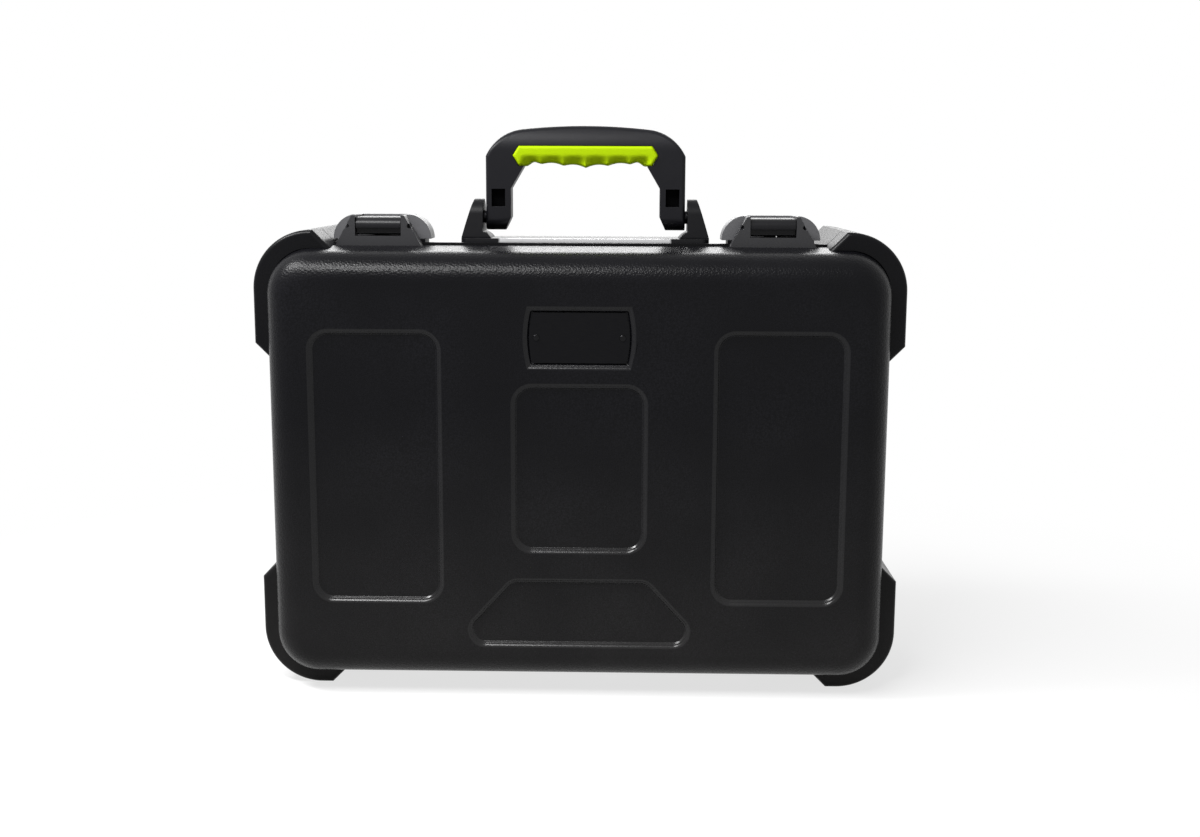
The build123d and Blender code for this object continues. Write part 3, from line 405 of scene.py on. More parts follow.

# %% [markdown]
# The foot's outline is drawn one corner at a time, because it is wider below than above. All five go into
# one list.

# %% The five outlines
foot_low_half = foot_top_half + (foot_top_rise - foot_low_rise) * foot_spread
foot_low, foot_top = middle_z + foot_low_rise - lip_reach, middle_z + foot_top_rise + lip_reach
foot_corners = [(column_x + way * foot_low_half + way * 2 * lip_reach, foot_low) for way in (-1, 1)]
foot_corners += [(column_x + way * foot_top_half + way * lip_reach / 2, foot_top) for way in (1, -1)]
pocket_radius = pocket_corner + lip_reach
lid_recesses = [
    ("left pocket", rounded(box_corners(-side_x, side_rise, side_size), pocket_radius)),
    ("right pocket", rounded(box_corners(side_x, side_rise, side_size), pocket_radius)),
    ("middle pocket", rounded(box_corners(column_x, centre_rise, centre_size), pocket_radius)),
    ("foot pocket", rounded(foot_corners, foot_corner + lip_reach)),
    ("badge pocket", bowed_outline(column_x, badge_rise, badge_size, badge_bow)),
]
lip_zone = (side_x + side_size[0] / 2 + 2 * lip_reach, -foot_low_rise + 2 * lip_reach)
print(len(lid_recesses), "recesses in the lid")

# %% [markdown]
# A flat pad under each shell takes its hinge leaf. A second block, smaller by the wall, hollows the shell
# out, and then the recesses are cut. The new edges are found by how sharply the surface turns at them, and
# rounded, the outer ones generously.

# %% How a shell is made
outer_ease, inner_ease = 1.3 * MM, 0.3 * MM
outer_steps, inner_steps = 4, 2
at_face, inner_from = 0.02 * MM, 1.2 * MM
sharp = radians(20.0)
hinge_pad_half, hinge_pad_depth, hinge_pad_height = 150.0 * MM, 24.0 * MM, 4.5 * MM


def hollow_shell(name, edge_y, face_y, draft, face_round, recesses):
    """One whole shell with its recesses."""
    way = 1.0 if face_y > edge_y else -1.0
    shell = shell_block(name, edge_y, face_y, draft, face_round, 0.0)
    low = (-hinge_pad_half, edge_y, shell_low.z)
    high = (hinge_pad_half, edge_y + way * hinge_pad_depth, shell_low.z + hinge_pad_height)
    weld(shell, start_cube("hinge pad", low, high))
    inner_face_y = face_y - way * (recess_depth + shell_wall)
    cut(shell, shell_block("hollow", edge_y, inner_face_y, draft, face_round - shell_wall, shell_wall))
    for title, outline in recesses:
        cut(shell, outline_cutter(title, outline, face_y, -way))
    edit(shell)

    def turns(edge, low, high):
        """True for an edge that turns sharply between two depths behind the face."""
        depths = [abs(v.co.y - face_y) for v in edge.verts]
        inside = min(depths) > low and max(depths) < high
        return inside and edge.is_manifold and edge.calc_face_angle() > sharp

    outer = pick_edges(shell, lambda edge: turns(edge, -MM, at_face))
    round_off(outer_ease, outer_steps)
    inner = pick_edges(shell, lambda edge: turns(edge, inner_from, recess_depth + touching))
    round_off(inner_ease, inner_steps)
    close()
    smooth(shell)
    print(name, "has", outer, "outer and", inner, "inner lip edges and", len(shell.data.polygons), "faces")
    return shell


print("the hinge pads are", 2 * hinge_pad_half / MM, "mm long")

# %% [markdown]
# The lid is made first. A new piece says two things: which body it rides on and which piece of the frame it
# takes the place of. Its finish is given later, with all the others.

# %% Make the lid
lid_edge_y, lid_face_y = shell_high.y, shell_low.y
lid_skin = hollow_shell("lid_skin", lid_edge_y, lid_face_y, lid_draft, lid_round, lid_recesses)
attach(lid_skin, "lid")
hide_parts("lid_shell")

# %% [markdown]
# The base is made by the same steps, with one large recess in its back.

# %% Make the base
base_edge_y, base_face_y = base_low.y, base_high.y
back_size, back_corner = (372.0 * MM, 236.0 * MM), 18.0 * MM
base_recesses = [("back pocket", rounded(box_corners(0.0, 0.0, back_size), back_corner + lip_reach))]
base_skin = hollow_shell("base_skin", base_edge_y, base_face_y, base_draft, base_round, base_recesses)
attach(base_skin, "base")
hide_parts("base_shell")

# %% [markdown]
# ## The foam
#
# The tray is a thick slab of charcoal foam with a round drop for each microphone and one long pocket for
# leads. It is cut, not moulded, so its walls are straight and only its edges give a little.

# %% Sizes of the foam
foam_gap = 0.3 * MM
drop_radius, drop_sides = 16.0 * MM, 40
drop_pitch_x, drop_pitch_z, drop_columns, drop_rows = 84.0 * MM, 66.0 * MM, 5, 3
drop_rise = -40.0 * MM
pocket_size, pocket_rise, pocket_depth = (372.0 * MM, 58.0 * MM), 87.0 * MM, 80.0 * MM
lead_corner, lead_steps = 8.0 * MM, 8
foam_edge, foam_steps, foam_turn = 1.5 * MM, 3, 16.0
relief_half, relief_rise, relief_back = 92.0 * MM, 149.0 * MM, 23.5 * MM
handle_x = 3.0 * MM
print("the tray holds", drop_columns * drop_rows, "microphones")

# %% [markdown]
# The foam fills the shell, so it starts as the shell's own block, drawn in by the wall and a small gap, and
# is sliced square at its mouth. Each drop is cut by a many-sided post.

# %% A filling and a post for the foam
def filling(name, edge_y, face_y, draft, face_round, mouth_y):
    """Foam that fills a shell from its inner face to mouth_y, where it is sliced square."""
    way = 1.0 if face_y > edge_y else -1.0
    piece = shell_block(name, edge_y, face_y, draft, face_round - shell_wall, shell_wall + foam_gap)
    edit(piece)
    pick_all()
    slice_across(1, mouth_y, way, use_fill=True, clear_inner=True)
    close()
    return piece


def post(name, x, z, radius, low_y, high_y):
    """A round post along Y, as a cutter."""
    bpy.ops.mesh.primitive_cylinder_add(
        vertices=drop_sides,
        radius=radius,
        depth=high_y - low_y,
        location=(x, (low_y + high_y) / 2, z),
        rotation=(pi / 2, 0.0, 0.0),
    )
    return name_new(name)


print("a drop has", drop_sides, "sides")

# %% [markdown]
# The tray fills the base down to the sheet behind it. A relief in its top clears the handle's screws.
# Straight cuts between the drops give each drop a field of its own: one face with all the holes in it would
# be joined up by long slivers, and those tear open when the rims are rounded.

# %% Shape the foam tray
pad_low, pad_high = span("foam_base_pad")
tray = filling("foam_insert", base_edge_y, pad_high.y, base_draft, base_round, tray_low.y)
edit(tray)
pick_all()
slice_across(1, tray_high.y, use_fill=True, clear_outer=True)
close()
relief_low = (handle_x - relief_half, tray_low.y - MM, middle_z + relief_rise)
relief_high = (handle_x + relief_half, relief_back, tray_high.z + MM)
cut(tray, start_cube("screw relief", relief_low, relief_high))
pocket_low = (-pocket_size[0] / 2, tray_low.y - MM, middle_z + pocket_rise - pocket_size[1] / 2)
pocket_high = (pocket_size[0] / 2, tray_low.y + pocket_depth, middle_z + pocket_rise + pocket_size[1] / 2)
pocket = start_cube("lead pocket", pocket_low, pocket_high)
edit(pocket)
pick_edges(pocket, lambda edge: abs((edge.verts[0].co - edge.verts[1].co).y) > pocket_depth / 2)
round_off(lead_corner, lead_steps)
close()
cut(tray, pocket)
edit(tray)
for column in range(1, drop_columns):
    pick_all()
    slice_across(0, (column - drop_columns / 2) * drop_pitch_x)
for row in range(drop_rows + 1):
    pick_all()
    slice_across(2, middle_z + drop_rise + (row - drop_rows / 2) * drop_pitch_z)
close()
print("the tray is", round((tray_high.y - tray_low.y) / MM, 1), "mm thick")

# %% [markdown]
# Now the drops are cut, and the rims are rounded: the edges on the tray's front that turn sharply. The
# straight cuts lie there too, but nothing turns at them.

# %% Cut the drops and round their rims
for column in range(drop_columns):
    for row in range(drop_rows):
        x = (column - (drop_columns - 1) / 2) * drop_pitch_x
        z = middle_z + drop_rise + (row - (drop_rows - 1) / 2) * drop_pitch_z
        cut(tray, post("drop", x, z, drop_radius, tray_low.y - MM, tray_high.y + MM))
edit(tray)
rims = pick_edges(
    tray,
    lambda edge: all(abs(v.co.y - tray_low.y) < touching for v in edge.verts)
    and edge.is_manifold
    and edge.calc_face_angle() > sharp,
)
round_off(foam_edge, foam_steps)
close()
smooth(tray, foam_turn)
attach(tray, "base")
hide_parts("foam_tray")
print("the tray has", rims, "rim edges and", len(tray.data.polygons), "faces")

# %% [markdown]
# The lid holds the microphones' heads down with egg-crate foam, a sheet with rows of soft peaks. Its open
# side gets a fine grid, one straight cut at a time. A subdivision would cut the round corners up as well.

# %% Lay a grid on the lid's foam
def lay_grid(piece, low, high, step, wanted):
    """Slice the faces that pass the test across X and Z, and leave the piece open for editing."""
    edit(piece)
    for axis in (0, 2):
        count = int((high[axis] - low[axis]) / step)
        for i in range(1, count):
            pick_faces(piece, wanted)
            slice_across(axis, low[axis] + (high[axis] - low[axis]) * i / count)
    shape = bmesh.from_edit_mesh(piece.data)
    print(piece.name, "has", len(shape.verts), "points in its grid")
    return shape


lining_low, lining_high = span("foam_lid_lining")
grid_step = 3.6 * MM
lining = filling("egg_crate_lining", lid_edge_y, lining_low.y, lid_draft, lid_round, lining_high.y)
shape = lay_grid(lining, lining_low, lining_high, grid_step, lambda centre, normal: normal.y > facing)

# %% [markdown]
# Each point of the grid sinks by the product of two waves, along X and along Z. They die away towards the
# border, which stays straight.

# %% Wave the lid's foam
crate_pitch, crate_depth, crate_base = 22.0 * MM, 7.0 * MM, 0.4 * MM
edge_margin, border, wave_turn = 9.0 * MM, 0.5 * MM, 60.0
half_x, half_z = (lining_high.x - lining_low.x) / 2, (lining_high.z - lining_low.z) / 2
for vertex in shape.verts:
    inside = min(half_x - abs(vertex.co.x), half_z - abs(vertex.co.z - middle_z))
    if vertex.co.y > lining_high.y - MM and inside > border:
        rise = vertex.co.z - middle_z
        wave = cos(2 * pi * vertex.co.x / crate_pitch) * cos(2 * pi * rise / crate_pitch)
        fade = min(1.0, inside / edge_margin)
        vertex.co.y -= fade * crate_depth * (0.5 - 0.5 * wave) + crate_base
bmesh.update_edit_mesh(lining.data)
close()
smooth(lining, wave_turn)
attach(lining, "lid")
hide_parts("foam_lid_lining")
print("the lining has", len(lining.data.polygons), "faces")

# %% [markdown]
# Behind the tray lies a plain sheet of the same foam. Only its outer edges are rounded.

# %% The sheet behind the tray
pad_edge, pad_steps, pad_turn = 1.0 * MM, 2, radians(60.0)
pad = filling("foam_backing", base_edge_y, pad_high.y, base_draft, base_round, pad_low.y)
edit(pad)
pick_edges(pad, lambda edge: edge.is_manifold and edge.calc_face_angle() > pad_turn)
round_off(pad_edge, pad_steps)
close()
smooth(pad)
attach(pad, "base")
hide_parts("foam_base_pad")
print("the sheet has", len(pad.data.polygons), "faces")

# %% [markdown]
# ## Guards, latches and brackets
#
# The frame's working parts have crisp edges, but a moulded part never has. A bright line runs along each
# rounded edge, and without it plastic looks like cut card. So a copy of the part is taken, its triangles
# are merged into one skin, and a bevel rounds every edge that turns by more than a set angle.

# %% A helper that softens edges
merge_reach, flat_turn = 0.002 * MM, radians(0.5)
soft_steps, soft_turn = 3, radians(32.0)
body_of_node = {
    node: body for body, empty in frame["bodies"].items() for node in nodes if nodes[node].parent is empty
}
slot_of_node = {part["node"]: part["material_slot"] for part in frame["record"]["subparts"]}
soft_parts = {}


def softened(node, radius, cutters=()):
    """A copy of one frame piece, cut, then rounded at its sharp edges; it takes the piece's place."""
    piece = bpy.data.objects.new(node + "_soft", nodes[node].data.copy())
    bpy.context.scene.collection.objects.link(piece)
    edit(piece)
    pick_all()
    bpy.ops.mesh.remove_doubles(threshold=merge_reach)
    bpy.ops.mesh.dissolve_limited(angle_limit=flat_turn)
    pick_all()
    bpy.ops.mesh.normals_make_consistent(inside=False)
    close()
    for cutter in cutters:
        cut(piece, cutter)
    apply_modifier(
        piece, "BEVEL", width=radius, segments=soft_steps, limit_method="ANGLE", angle_limit=soft_turn
    )
    smooth(piece)
    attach(piece, body_of_node[node])
    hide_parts(node)
    soft_parts[node] = piece
    return piece


# %% [markdown]
# The guards are rounded generously, the brackets and the handle less, and the keepers behind the latches
# are as round as a pebble. One table says how much.

# %% Soften the guards, the handle and its brackets
round_of_part = {
    "lid_guard": 1.4 * MM,
    "base_guard": 1.4 * MM,
    "handle_bracket": 1.1 * MM,
    "handle_frame": 0.8 * MM,
    "handle_plate": 2.0 * MM,
    "keeper_housing": 4.0 * MM,
    "keeper_plate": 0.5 * MM,
    "slide_bolt": 0.4 * MM,
}
for node in sorted(nodes):
    for part, radius in round_of_part.items():
        if node.startswith(part) and "screws" not in node:
            softened(node, radius)
handle_low, handle_high = span("handle_frame")
soft_faces = sum(len(part.data.polygons) for part in soft_parts.values())
print(len(soft_parts), "mouldings softened,", soft_faces, "faces")

# %% [markdown]
# A latch is a lever between two cheeks. Each cheek has a small round hole on its shoulder, for the tool
# that drives the pin. The hole's cutter is a post that is turned to meet the slanted corner.

# %% A cutter for the shoulder holes
hole_radius, hole_reach = 1.9 * MM, 3.0 * MM


def shoulder_hole(x, y, z, side):
    """A round cutter that enters a cheek's front corner at 45 degrees; side is -1 or 1 along X."""
    cutter = post("shoulder hole", x, z, hole_radius, y - hole_reach, y + hole_reach)
    edit(cutter)
    pick_all()
    bpy.ops.transform.rotate(value=-side * pi / 4, orient_axis="Z", center_override=(x, y, z))
    close()
    return cutter


print("shoulder holes are", 2 * hole_radius / MM, "mm wide")

# %% [markdown]
# The lever's front is stepped back under a lip, where a finger gets hold of it. The step and the holes are
# cut before the edges are rounded, so the new edges get their bright line as well.

# %% Cut and soften the latches
lip_drop, lip_depth, lip_margin = 1.8 * MM, 3.2 * MM, 1.5 * MM
lever_round, housing_round = 0.6 * MM, 0.9 * MM
for side_name in ("left", "right"):
    pin_low, pin_high = span("latch_pin_" + side_name)
    pin_z = (pin_low.z + pin_high.z) / 2
    lever_low, lever_high = span("latch_lever_" + side_name)
    step_low = (lever_low.x - lip_margin, lever_low.y - MM, lever_low.z - MM)
    step_high = (lever_high.x + lip_margin, lever_low.y + lip_depth, pin_z - lip_drop)
    lip_step = start_cube("lip step", step_low, step_high)
    lever = softened("latch_lever_" + side_name, lever_round, [lip_step])
    front_y = span("latch_housing_" + side_name)[0].y
    holes = [
        shoulder_hole(pin_low.x, front_y + MM, pin_z, -1),
        shoulder_hole(pin_high.x, front_y + MM, pin_z, 1),
    ]
    housing = softened("latch_housing_" + side_name, housing_round, holes)
    print(side_name, "latch:", len(lever.data.polygons), "and", len(housing.data.polygons), "faces")

# %% [markdown]
# ## The grip
#
# The grip is a rubber sleeve with pointed ends and six shallow hollows for the fingers along its lower
# edge. It could be swept along the handle, but the hollows run only over its lower half, so a block with a
# fine grid is pushed into shape point by point, as clay is. Three small functions say where.

# %% Sizes and curves of the grip
grip_x = (grip_low.x + grip_high.x) / 2
grip_half = (grip_high.x - grip_low.x) / 2
grip_corner_half = 51.5 * MM
grip_tip_z = shell_high.z + 67.8 * MM
grip_step = 0.95 * MM
finger_pairs = 3
wave_rise, wave_lift, wave_drop, wave_power = 1.5 * MM, 2.6 * MM, 1.3 * MM, 0.7
wave_end, hollow_end, ridge_share = (0.76, 0.90), (0.88, 1.0), 0.35
hollow_depth, hollow_top_z = 5.6 * MM, grip_tip_z + 1.0 * MM
grip_round, grip_turn = 2.4 * MM, 50.0


def ease(value, low, high):
    """0 below low, 1 above high, and a soft S between."""
    t = min(1.0, max(0.0, (value - low) / (high - low)))
    return t * t * (3 - 2 * t)


def finger(x):
    """0 on a ridge between two fingers, 1 in the middle of a hollow."""
    along = min(1.0, abs(x - grip_x) / grip_corner_half)
    return abs(sin(finger_pairs * pi * along))


def lower_edge(x):
    """Height of the grip's lower edge: lowest in the middle, rising to the ends, with a wave on it."""
    along = min(1.0, abs(x - grip_x) / grip_corner_half)
    lift = wave_lift * along**wave_power + wave_rise * finger(x)
    return grip_low.z - wave_drop * (1 - along) + lift * (1 - ease(along, *wave_end))


print("the grip is", round(2 * grip_half / MM, 1), "mm long")

# %% [markdown]
# The block gets a grid, and every point of it moves once. The ends are drawn to a point, the lower edge
# takes its wave, the hollows go in from front and back, and the rim is turned over to a soft round.

# %% Push the grip into shape
grip = start_cube("grip_sleeve", grip_low, grip_high)
shape = lay_grid(grip, grip_low, grip_high, grip_step, lambda centre, normal: True)
grip_y, grip_half_y = (grip_low.y + grip_high.y) / 2, (grip_high.y - grip_low.y) / 2
for vertex in shape.verts:
    x, y, z = vertex.co
    off_tip = min(1.0, abs(z - grip_tip_z) / (grip_high.z - grip_tip_z))
    end = grip_half - (grip_half - grip_corner_half) * off_tip
    x = grip_x + (x - grip_x) * end / grip_half
    if z < grip_tip_z:
        z = grip_tip_z - (grip_tip_z - z) * (grip_tip_z - lower_edge(x)) / (grip_tip_z - grip_low.z)
    along = abs(x - grip_x) / grip_corner_half
    deep = (ridge_share + (1 - ridge_share) * finger(x)) * (1 - ease(along, *hollow_end))
    hollow = hollow_depth * deep * (1 - ease(z, grip_low.z + MM, hollow_top_z))
    rim = max(0.0, min(grip_high.z - z, z - lower_edge(x), end - abs(x - grip_x)))
    turned = grip_round - (grip_round**2 - max(0.0, grip_round - rim) ** 2) ** 0.5
    vertex.co = (x, grip_y + (y - grip_y) * (1 - (hollow + turned) / grip_half_y), z)
bmesh.update_edit_mesh(grip.data)
close()
smooth(grip, grip_turn)
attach(grip, body_of_node["handle_grip"])
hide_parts("handle_grip")
print("the grip has", len(grip.data.polygons), "faces")

# %% [markdown]
# ## Surfaces
#
# A finish is built from nodes. A small class wraps a node's output and lets it be added and multiplied
# like a number. Each sign adds one Math node.

# %% Arithmetic on sockets
class Value:
    """A node's output that can be used in sums."""

    def __init__(self, tree, socket):
        self.tree, self.socket = tree, socket

    def combine(self, operation, *terms):
        node = self.tree.nodes.new("ShaderNodeMath")
        node.operation = operation
        for slot, term in zip(node.inputs, terms):
            if isinstance(term, Value):
                self.tree.links.new(term.socket, slot)
            else:
                slot.default_value = term
        return Value(self.tree, node.outputs[0])

    def __add__(self, other):
        return self.combine("ADD", self, other)

    def __radd__(self, other):
        return self.combine("ADD", other, self)

    def __sub__(self, other):
        return self.combine("SUBTRACT", self, other)

    def __rsub__(self, other):
        return self.combine("SUBTRACT", other, self)

    def __mul__(self, other):
        return self.combine("MULTIPLY", self, other)

    def __rmul__(self, other):
        return self.combine("MULTIPLY", other, self)

    def between(self, low, high):
        """0 below low, 1 above high, and a straight climb from one to the other."""
        node = self.tree.nodes.new("ShaderNodeMapRange")
        self.tree.links.new(self.socket, node.inputs["Value"])
        node.inputs["From Min"].default_value = low
        node.inputs["From Max"].default_value = high
        return Value(self.tree, node.outputs["Result"])


print("a node's output can be added and multiplied")

# %% [markdown]
# A second class holds a tree of nodes, and its one method adds any other node. Colours are mixed by a Mix
# node, because a Math node would turn them grey.

# %% A sheet of nodes
class NodeSheet:
    """A cleared node tree and the one way to add a node to it."""

    def __init__(self, owner):
        owner.use_nodes = True
        self.tree = owner.node_tree
        self.tree.nodes.clear()

    def node(self, kind, output=0, settings=None, sockets=None, **inputs):
        """Add a node: its settings first, then its sockets, by number or by name with _ for a space."""
        node = self.tree.nodes.new(kind)
        for setting, choice in (settings or {}).items():
            setattr(node, setting, choice)
        given = dict(sockets or {})
        given.update({socket.replace("_", " "): value for socket, value in inputs.items()})
        for socket, value in given.items():
            if isinstance(value, Value):
                self.tree.links.new(value.socket, node.inputs[socket])
            else:
                node.inputs[socket].default_value = value
        return None if output is None else Value(self.tree, node.outputs[output])

    def blend(self, factor, first, second):
        """A colour that goes from the first to the second as the factor climbs."""
        first, second = (c if isinstance(c, Value) else (*c, 1.0) for c in (first, second))
        sockets = {0: factor, 6: first, 7: second}
        return self.node("ShaderNodeMix", output=2, settings={"data_type": "RGBA"}, sockets=sockets)


print("nodes can be added and colours mixed")

# %% [markdown]
# A finish is such a sheet around one Principled shader. What is the same all over is set on the shader
# itself. What changes from place to place is fed into it, and is read in the piece's own coordinates, so it
# moves along when the piece moves.

# %% A finish
class Finish(NodeSheet):
    """One material with a Principled shader, read in the piece's own coordinates."""

    def __init__(self, name, **constants):
        self.material = bpy.data.materials.new(name)
        super().__init__(self.material)
        self.shader = self.tree.nodes.new("ShaderNodeBsdfPrincipled")
        for socket, constant in constants.items():
            self.shader.inputs[socket.replace("_", " ")].default_value = constant
        self.node("ShaderNodeOutputMaterial", output=None, Surface=Value(self.tree, self.shader.outputs[0]))
        self.place = self.node("ShaderNodeTexCoord", output="Object")

    def feed(self, socket, value):
        """Link a value to one of the shader's sockets."""
        self.tree.links.new(value.socket, self.shader.inputs[socket])

    def noise(self, scale, detail):
        """Soft noise, about 1 / scale metres from one blotch to the next."""
        return self.node("ShaderNodeTexNoise", Vector=self.place, Scale=scale, Detail=detail)

    def cells(self, size):
        """Distance to the nearest of many scattered points, about size metres apart."""
        return self.node("ShaderNodeTexVoronoi", output="Distance", Vector=self.place, Scale=1 / size)

    def relief(self, height, distance):
        """Bumps of the given height in metres."""
        self.feed("Normal", self.node("ShaderNodeBump", Height=height, Distance=distance))


print("finishes can be mixed")

# %% [markdown]
# The shells come from a mould with a pebbled face. The grain is small round hills: the distance to
# scattered points makes them, and noise makes them uneven. The tops are worn smoother than the valleys, so
# the grain glitters on a rounded edge. A painted reflection of the pale floor, in a warm grey, lightens the
# lower part. Harder plastics have the same finish with a finer and flatter grain, so one function makes them
# all.

# %% Pebbled plastic
# How high, how strongly and in which warm grey the painted reflection of the floor lightens the lower part.
floor_glow_reach, floor_glow_share, floor_glow_colour = 0.22, 0.10, (0.085, 0.080, 0.072)


def pebbled(name, colour, lighter, rough, grain, shine, crown=None):
    """Moulded plastic between two colours and two roughnesses.

    The grain is the size and the height of its hills in millimetres. A crown (low, high, fall) turns the
    faces over from one height to another, as on a rounded bar.
    """
    rough_low, rough_high = rough
    size, height = (measure * MM for measure in grain)
    finish = Finish(name, IOR=1.5, Specular_IOR_Level=shine)
    hills = 1.0 - finish.cells(size).between(0.1, 0.8) + finish.noise(2.4 / size, detail=3.0) * 0.5
    worn = hills.between(0.3, 1.3)
    patches = finish.noise(14.0, detail=3.0).between(0.3, 0.7)
    height_above_floor = finish.node("ShaderNodeSeparateXYZ", output="Z", Vector=finish.place)
    # Painted reflection of the floor: lighter towards the bottom, in patches.
    floor_glow = (1.0 - height_above_floor.between(0.0, floor_glow_reach)) * (0.6 + patches * 0.4)
    plain = finish.blend(worn * patches, colour, lighter)
    finish.feed("Base Color", finish.blend(floor_glow * floor_glow_share, plain, floor_glow_colour))
    finish.feed("Roughness", rough_high - worn * (rough_high - rough_low) + patches * 0.04)
    form = hills * height
    if crown:
        low, high, fall = crown
        climb = height_above_floor.between(low, high)
        form = form - climb * climb * fall
    finish.relief(form, 1.0)
    return finish.material


# The painted reflection of the floor reaches up to this height.
print("pebbled plastics gather dust up to", floor_glow_reach, "m")

# %% [markdown]
# The shells and guards are the blackest parts. The lips of the recesses come smoother from the mould than
# the faces around them, so a faint line of light follows each outline.

# %% Black plastics
shell_black = pebbled(
    "pebbled black", (0.0017, 0.0017, 0.0025), (0.0052, 0.0052, 0.0068), (0.19, 0.30), (1.6, 0.11), 0.11
)
guard_black = pebbled(
    "guard black", (0.0018, 0.0018, 0.0024), (0.0045, 0.0045, 0.0055), (0.22, 0.34), (1.1, 0.03), 0.10
)
lip_black = pebbled(
    "smooth lips", (0.0022, 0.0022, 0.0030), (0.0055, 0.0055, 0.0070), (0.15, 0.24), (1.6, 0.02), 0.22
)
rim_black = pebbled(
    "rim black", (0.0025, 0.0025, 0.0030), (0.0045, 0.0045, 0.0050), (0.28, 0.38), (0.8, 0.01), 0.12
)
print("black plastics for the shells, their lips, the guards and the rims")

# %% [markdown]
# The handle, its brackets and the latches are moulded in harder plastic with a fine matt on it. The latches
# are a shade lighter than the handle. The keepers are painted lighter still, a painted highlight for the
# light they catch from above. The handle's upper bar is a little rounded, which a crown in its relief shows.

# %% Plastics of the handle and latches
handle_crown = (grip_high.z - 4 * MM, handle_high.z, 7 * MM)
handle_grey = pebbled(
    "handle grey", (0.0052, 0.0052, 0.0068), (0.0092, 0.0092, 0.0114), (0.32, 0.44), (0.6, 0.02), 0.14,
    crown=handle_crown,
)
bracket_black = pebbled(
    "bracket black", (0.0030, 0.0030, 0.0038), (0.0060, 0.0060, 0.0070), (0.32, 0.42), (0.6, 0.02), 0.10
)
latch_grey = pebbled(
    "latch grey", (0.015, 0.015, 0.017), (0.026, 0.026, 0.029), (0.24, 0.34), (0.6, 0.02), 0.42
)
lever_black = pebbled(
    "lever black", (0.006, 0.006, 0.007), (0.012, 0.012, 0.014), (0.22, 0.32), (0.6, 0.01), 0.15
)
# Painted highlight: the keepers' black plastic is given a light grey for the light falling on their tops.
keeper_painted_light_grey = pebbled(
    "keeper grey with painted highlight", (0.085, 0.085, 0.090), (0.120, 0.120, 0.126), (0.26, 0.36), (0.6, 0.02), 0.5
)
# Painted shade: near black for the floors of the handle's windows, as in a deeper slot.
window_painted_shade = pebbled(
    "painted shade in the windows", (0.0008, 0.0008, 0.0010), (0.0016, 0.0016, 0.0020), (0.5, 0.6), (0.6, 0.02), 0.02
)
print("six harder plastics")

# %% [markdown]
# The grip is a bright rubber sleeve with a matt skin, the seal a soft black cord, and the foam is open
# celled: dark pits between lighter walls.

# %% Rubber and foam
grip_lime = pebbled(
    "lime rubber", (0.330, 0.487, 0.0003), (0.364, 0.533, 0.0006), (0.45, 0.58), (0.9, 0.015), 0.08
)
seal_rubber = pebbled(
    "seal rubber", (0.010, 0.010, 0.010), (0.016, 0.016, 0.016), (0.60, 0.75), (0.8, 0.01), 0.3
)
foam = Finish("charcoal foam", IOR=1.45, Specular_IOR_Level=0.15)
pores, fibres = foam.cells(1.2 * MM).between(0.15, 0.7), foam.noise(1500.0, detail=4.0)
walls = pores * 0.8 + fibres * 0.3
foam.feed("Base Color", foam.blend(walls, (0.016, 0.016, 0.018), (0.070, 0.070, 0.075)))
foam.feed("Roughness", 0.97 - walls * 0.1)
foam.relief(walls, 0.4 * MM)
foam_grey = foam.material
print("rubber and foam")

# %% [markdown]
# The metal parts are steel screws, a blackened hinge and pins, and a dark name plate. Brushing is noise
# stretched along the part's length, and it shows in the colour, the roughness and a very fine relief.

# %% Metals
def brushed(name, colour, lighter, rough_low, rough_high, stretch):
    """Brushed or plated metal; stretch says how fine the lines are along X, Y and Z."""
    finish = Finish(name, Metallic=1.0)
    drawn = finish.node("ShaderNodeMapping", Vector=finish.place, Scale=stretch)
    lines = finish.node("ShaderNodeTexNoise", Vector=drawn, Scale=1.0, Detail=3.0, Roughness=0.6)
    finish.feed("Base Color", finish.blend(lines, colour, lighter))
    finish.feed("Roughness", rough_low + lines * (rough_high - rough_low))
    finish.relief(lines, 0.01 * MM)
    return finish.material


fine = (900.0, 900.0, 900.0)
screw_steel = brushed("screw steel", (0.30, 0.30, 0.31), (0.42, 0.42, 0.43), 0.28, 0.45, fine)
along_hinge, along_badge = (120.0, 2500.0, 2500.0), (150.0, 900.0, 3500.0)
hinge_black = brushed("blackened steel", (0.03, 0.03, 0.034), (0.07, 0.07, 0.076), 0.35, 0.5, along_hinge)
pin_black = brushed("blackened pin", (0.010, 0.010, 0.011), (0.025, 0.025, 0.027), 0.3, 0.45, fine)
badge_dark = brushed("dark name plate", (0.008, 0.008, 0.009), (0.013, 0.013, 0.014), 0.36, 0.5, along_badge)
rivet_dark = brushed("dark rivets", (0.008, 0.008, 0.009), (0.020, 0.020, 0.021), 0.12, 0.20, fine)
print("five metals")

# %% [markdown]
# The plate under the handle is black too, but its front lip between the brackets is made bright bare metal,
# a painted reflection of the light along that edge. Two masks, one across and one in depth, are multiplied
# to say where.

# %% The plate with a painted bright lip
shine_half, shine_depth, shine_fade = 65.0 * MM, 3.0 * MM, 1.5 * MM
plate = Finish("handle plate", IOR=1.5, Specular_IOR_Level=0.2)
place_x = plate.node("ShaderNodeSeparateXYZ", output="X", Vector=plate.place) - handle_x
place_y = plate.node("ShaderNodeSeparateXYZ", output="Y", Vector=plate.place)
plate_front_y = span("handle_plate")[0].y
between_brackets = 1.0 - place_x.combine("ABSOLUTE", place_x).between(shine_half, shine_half + shine_fade)
on_the_lip = 1.0 - place_y.between(plate_front_y + shine_depth, plate_front_y + shine_depth + shine_fade)
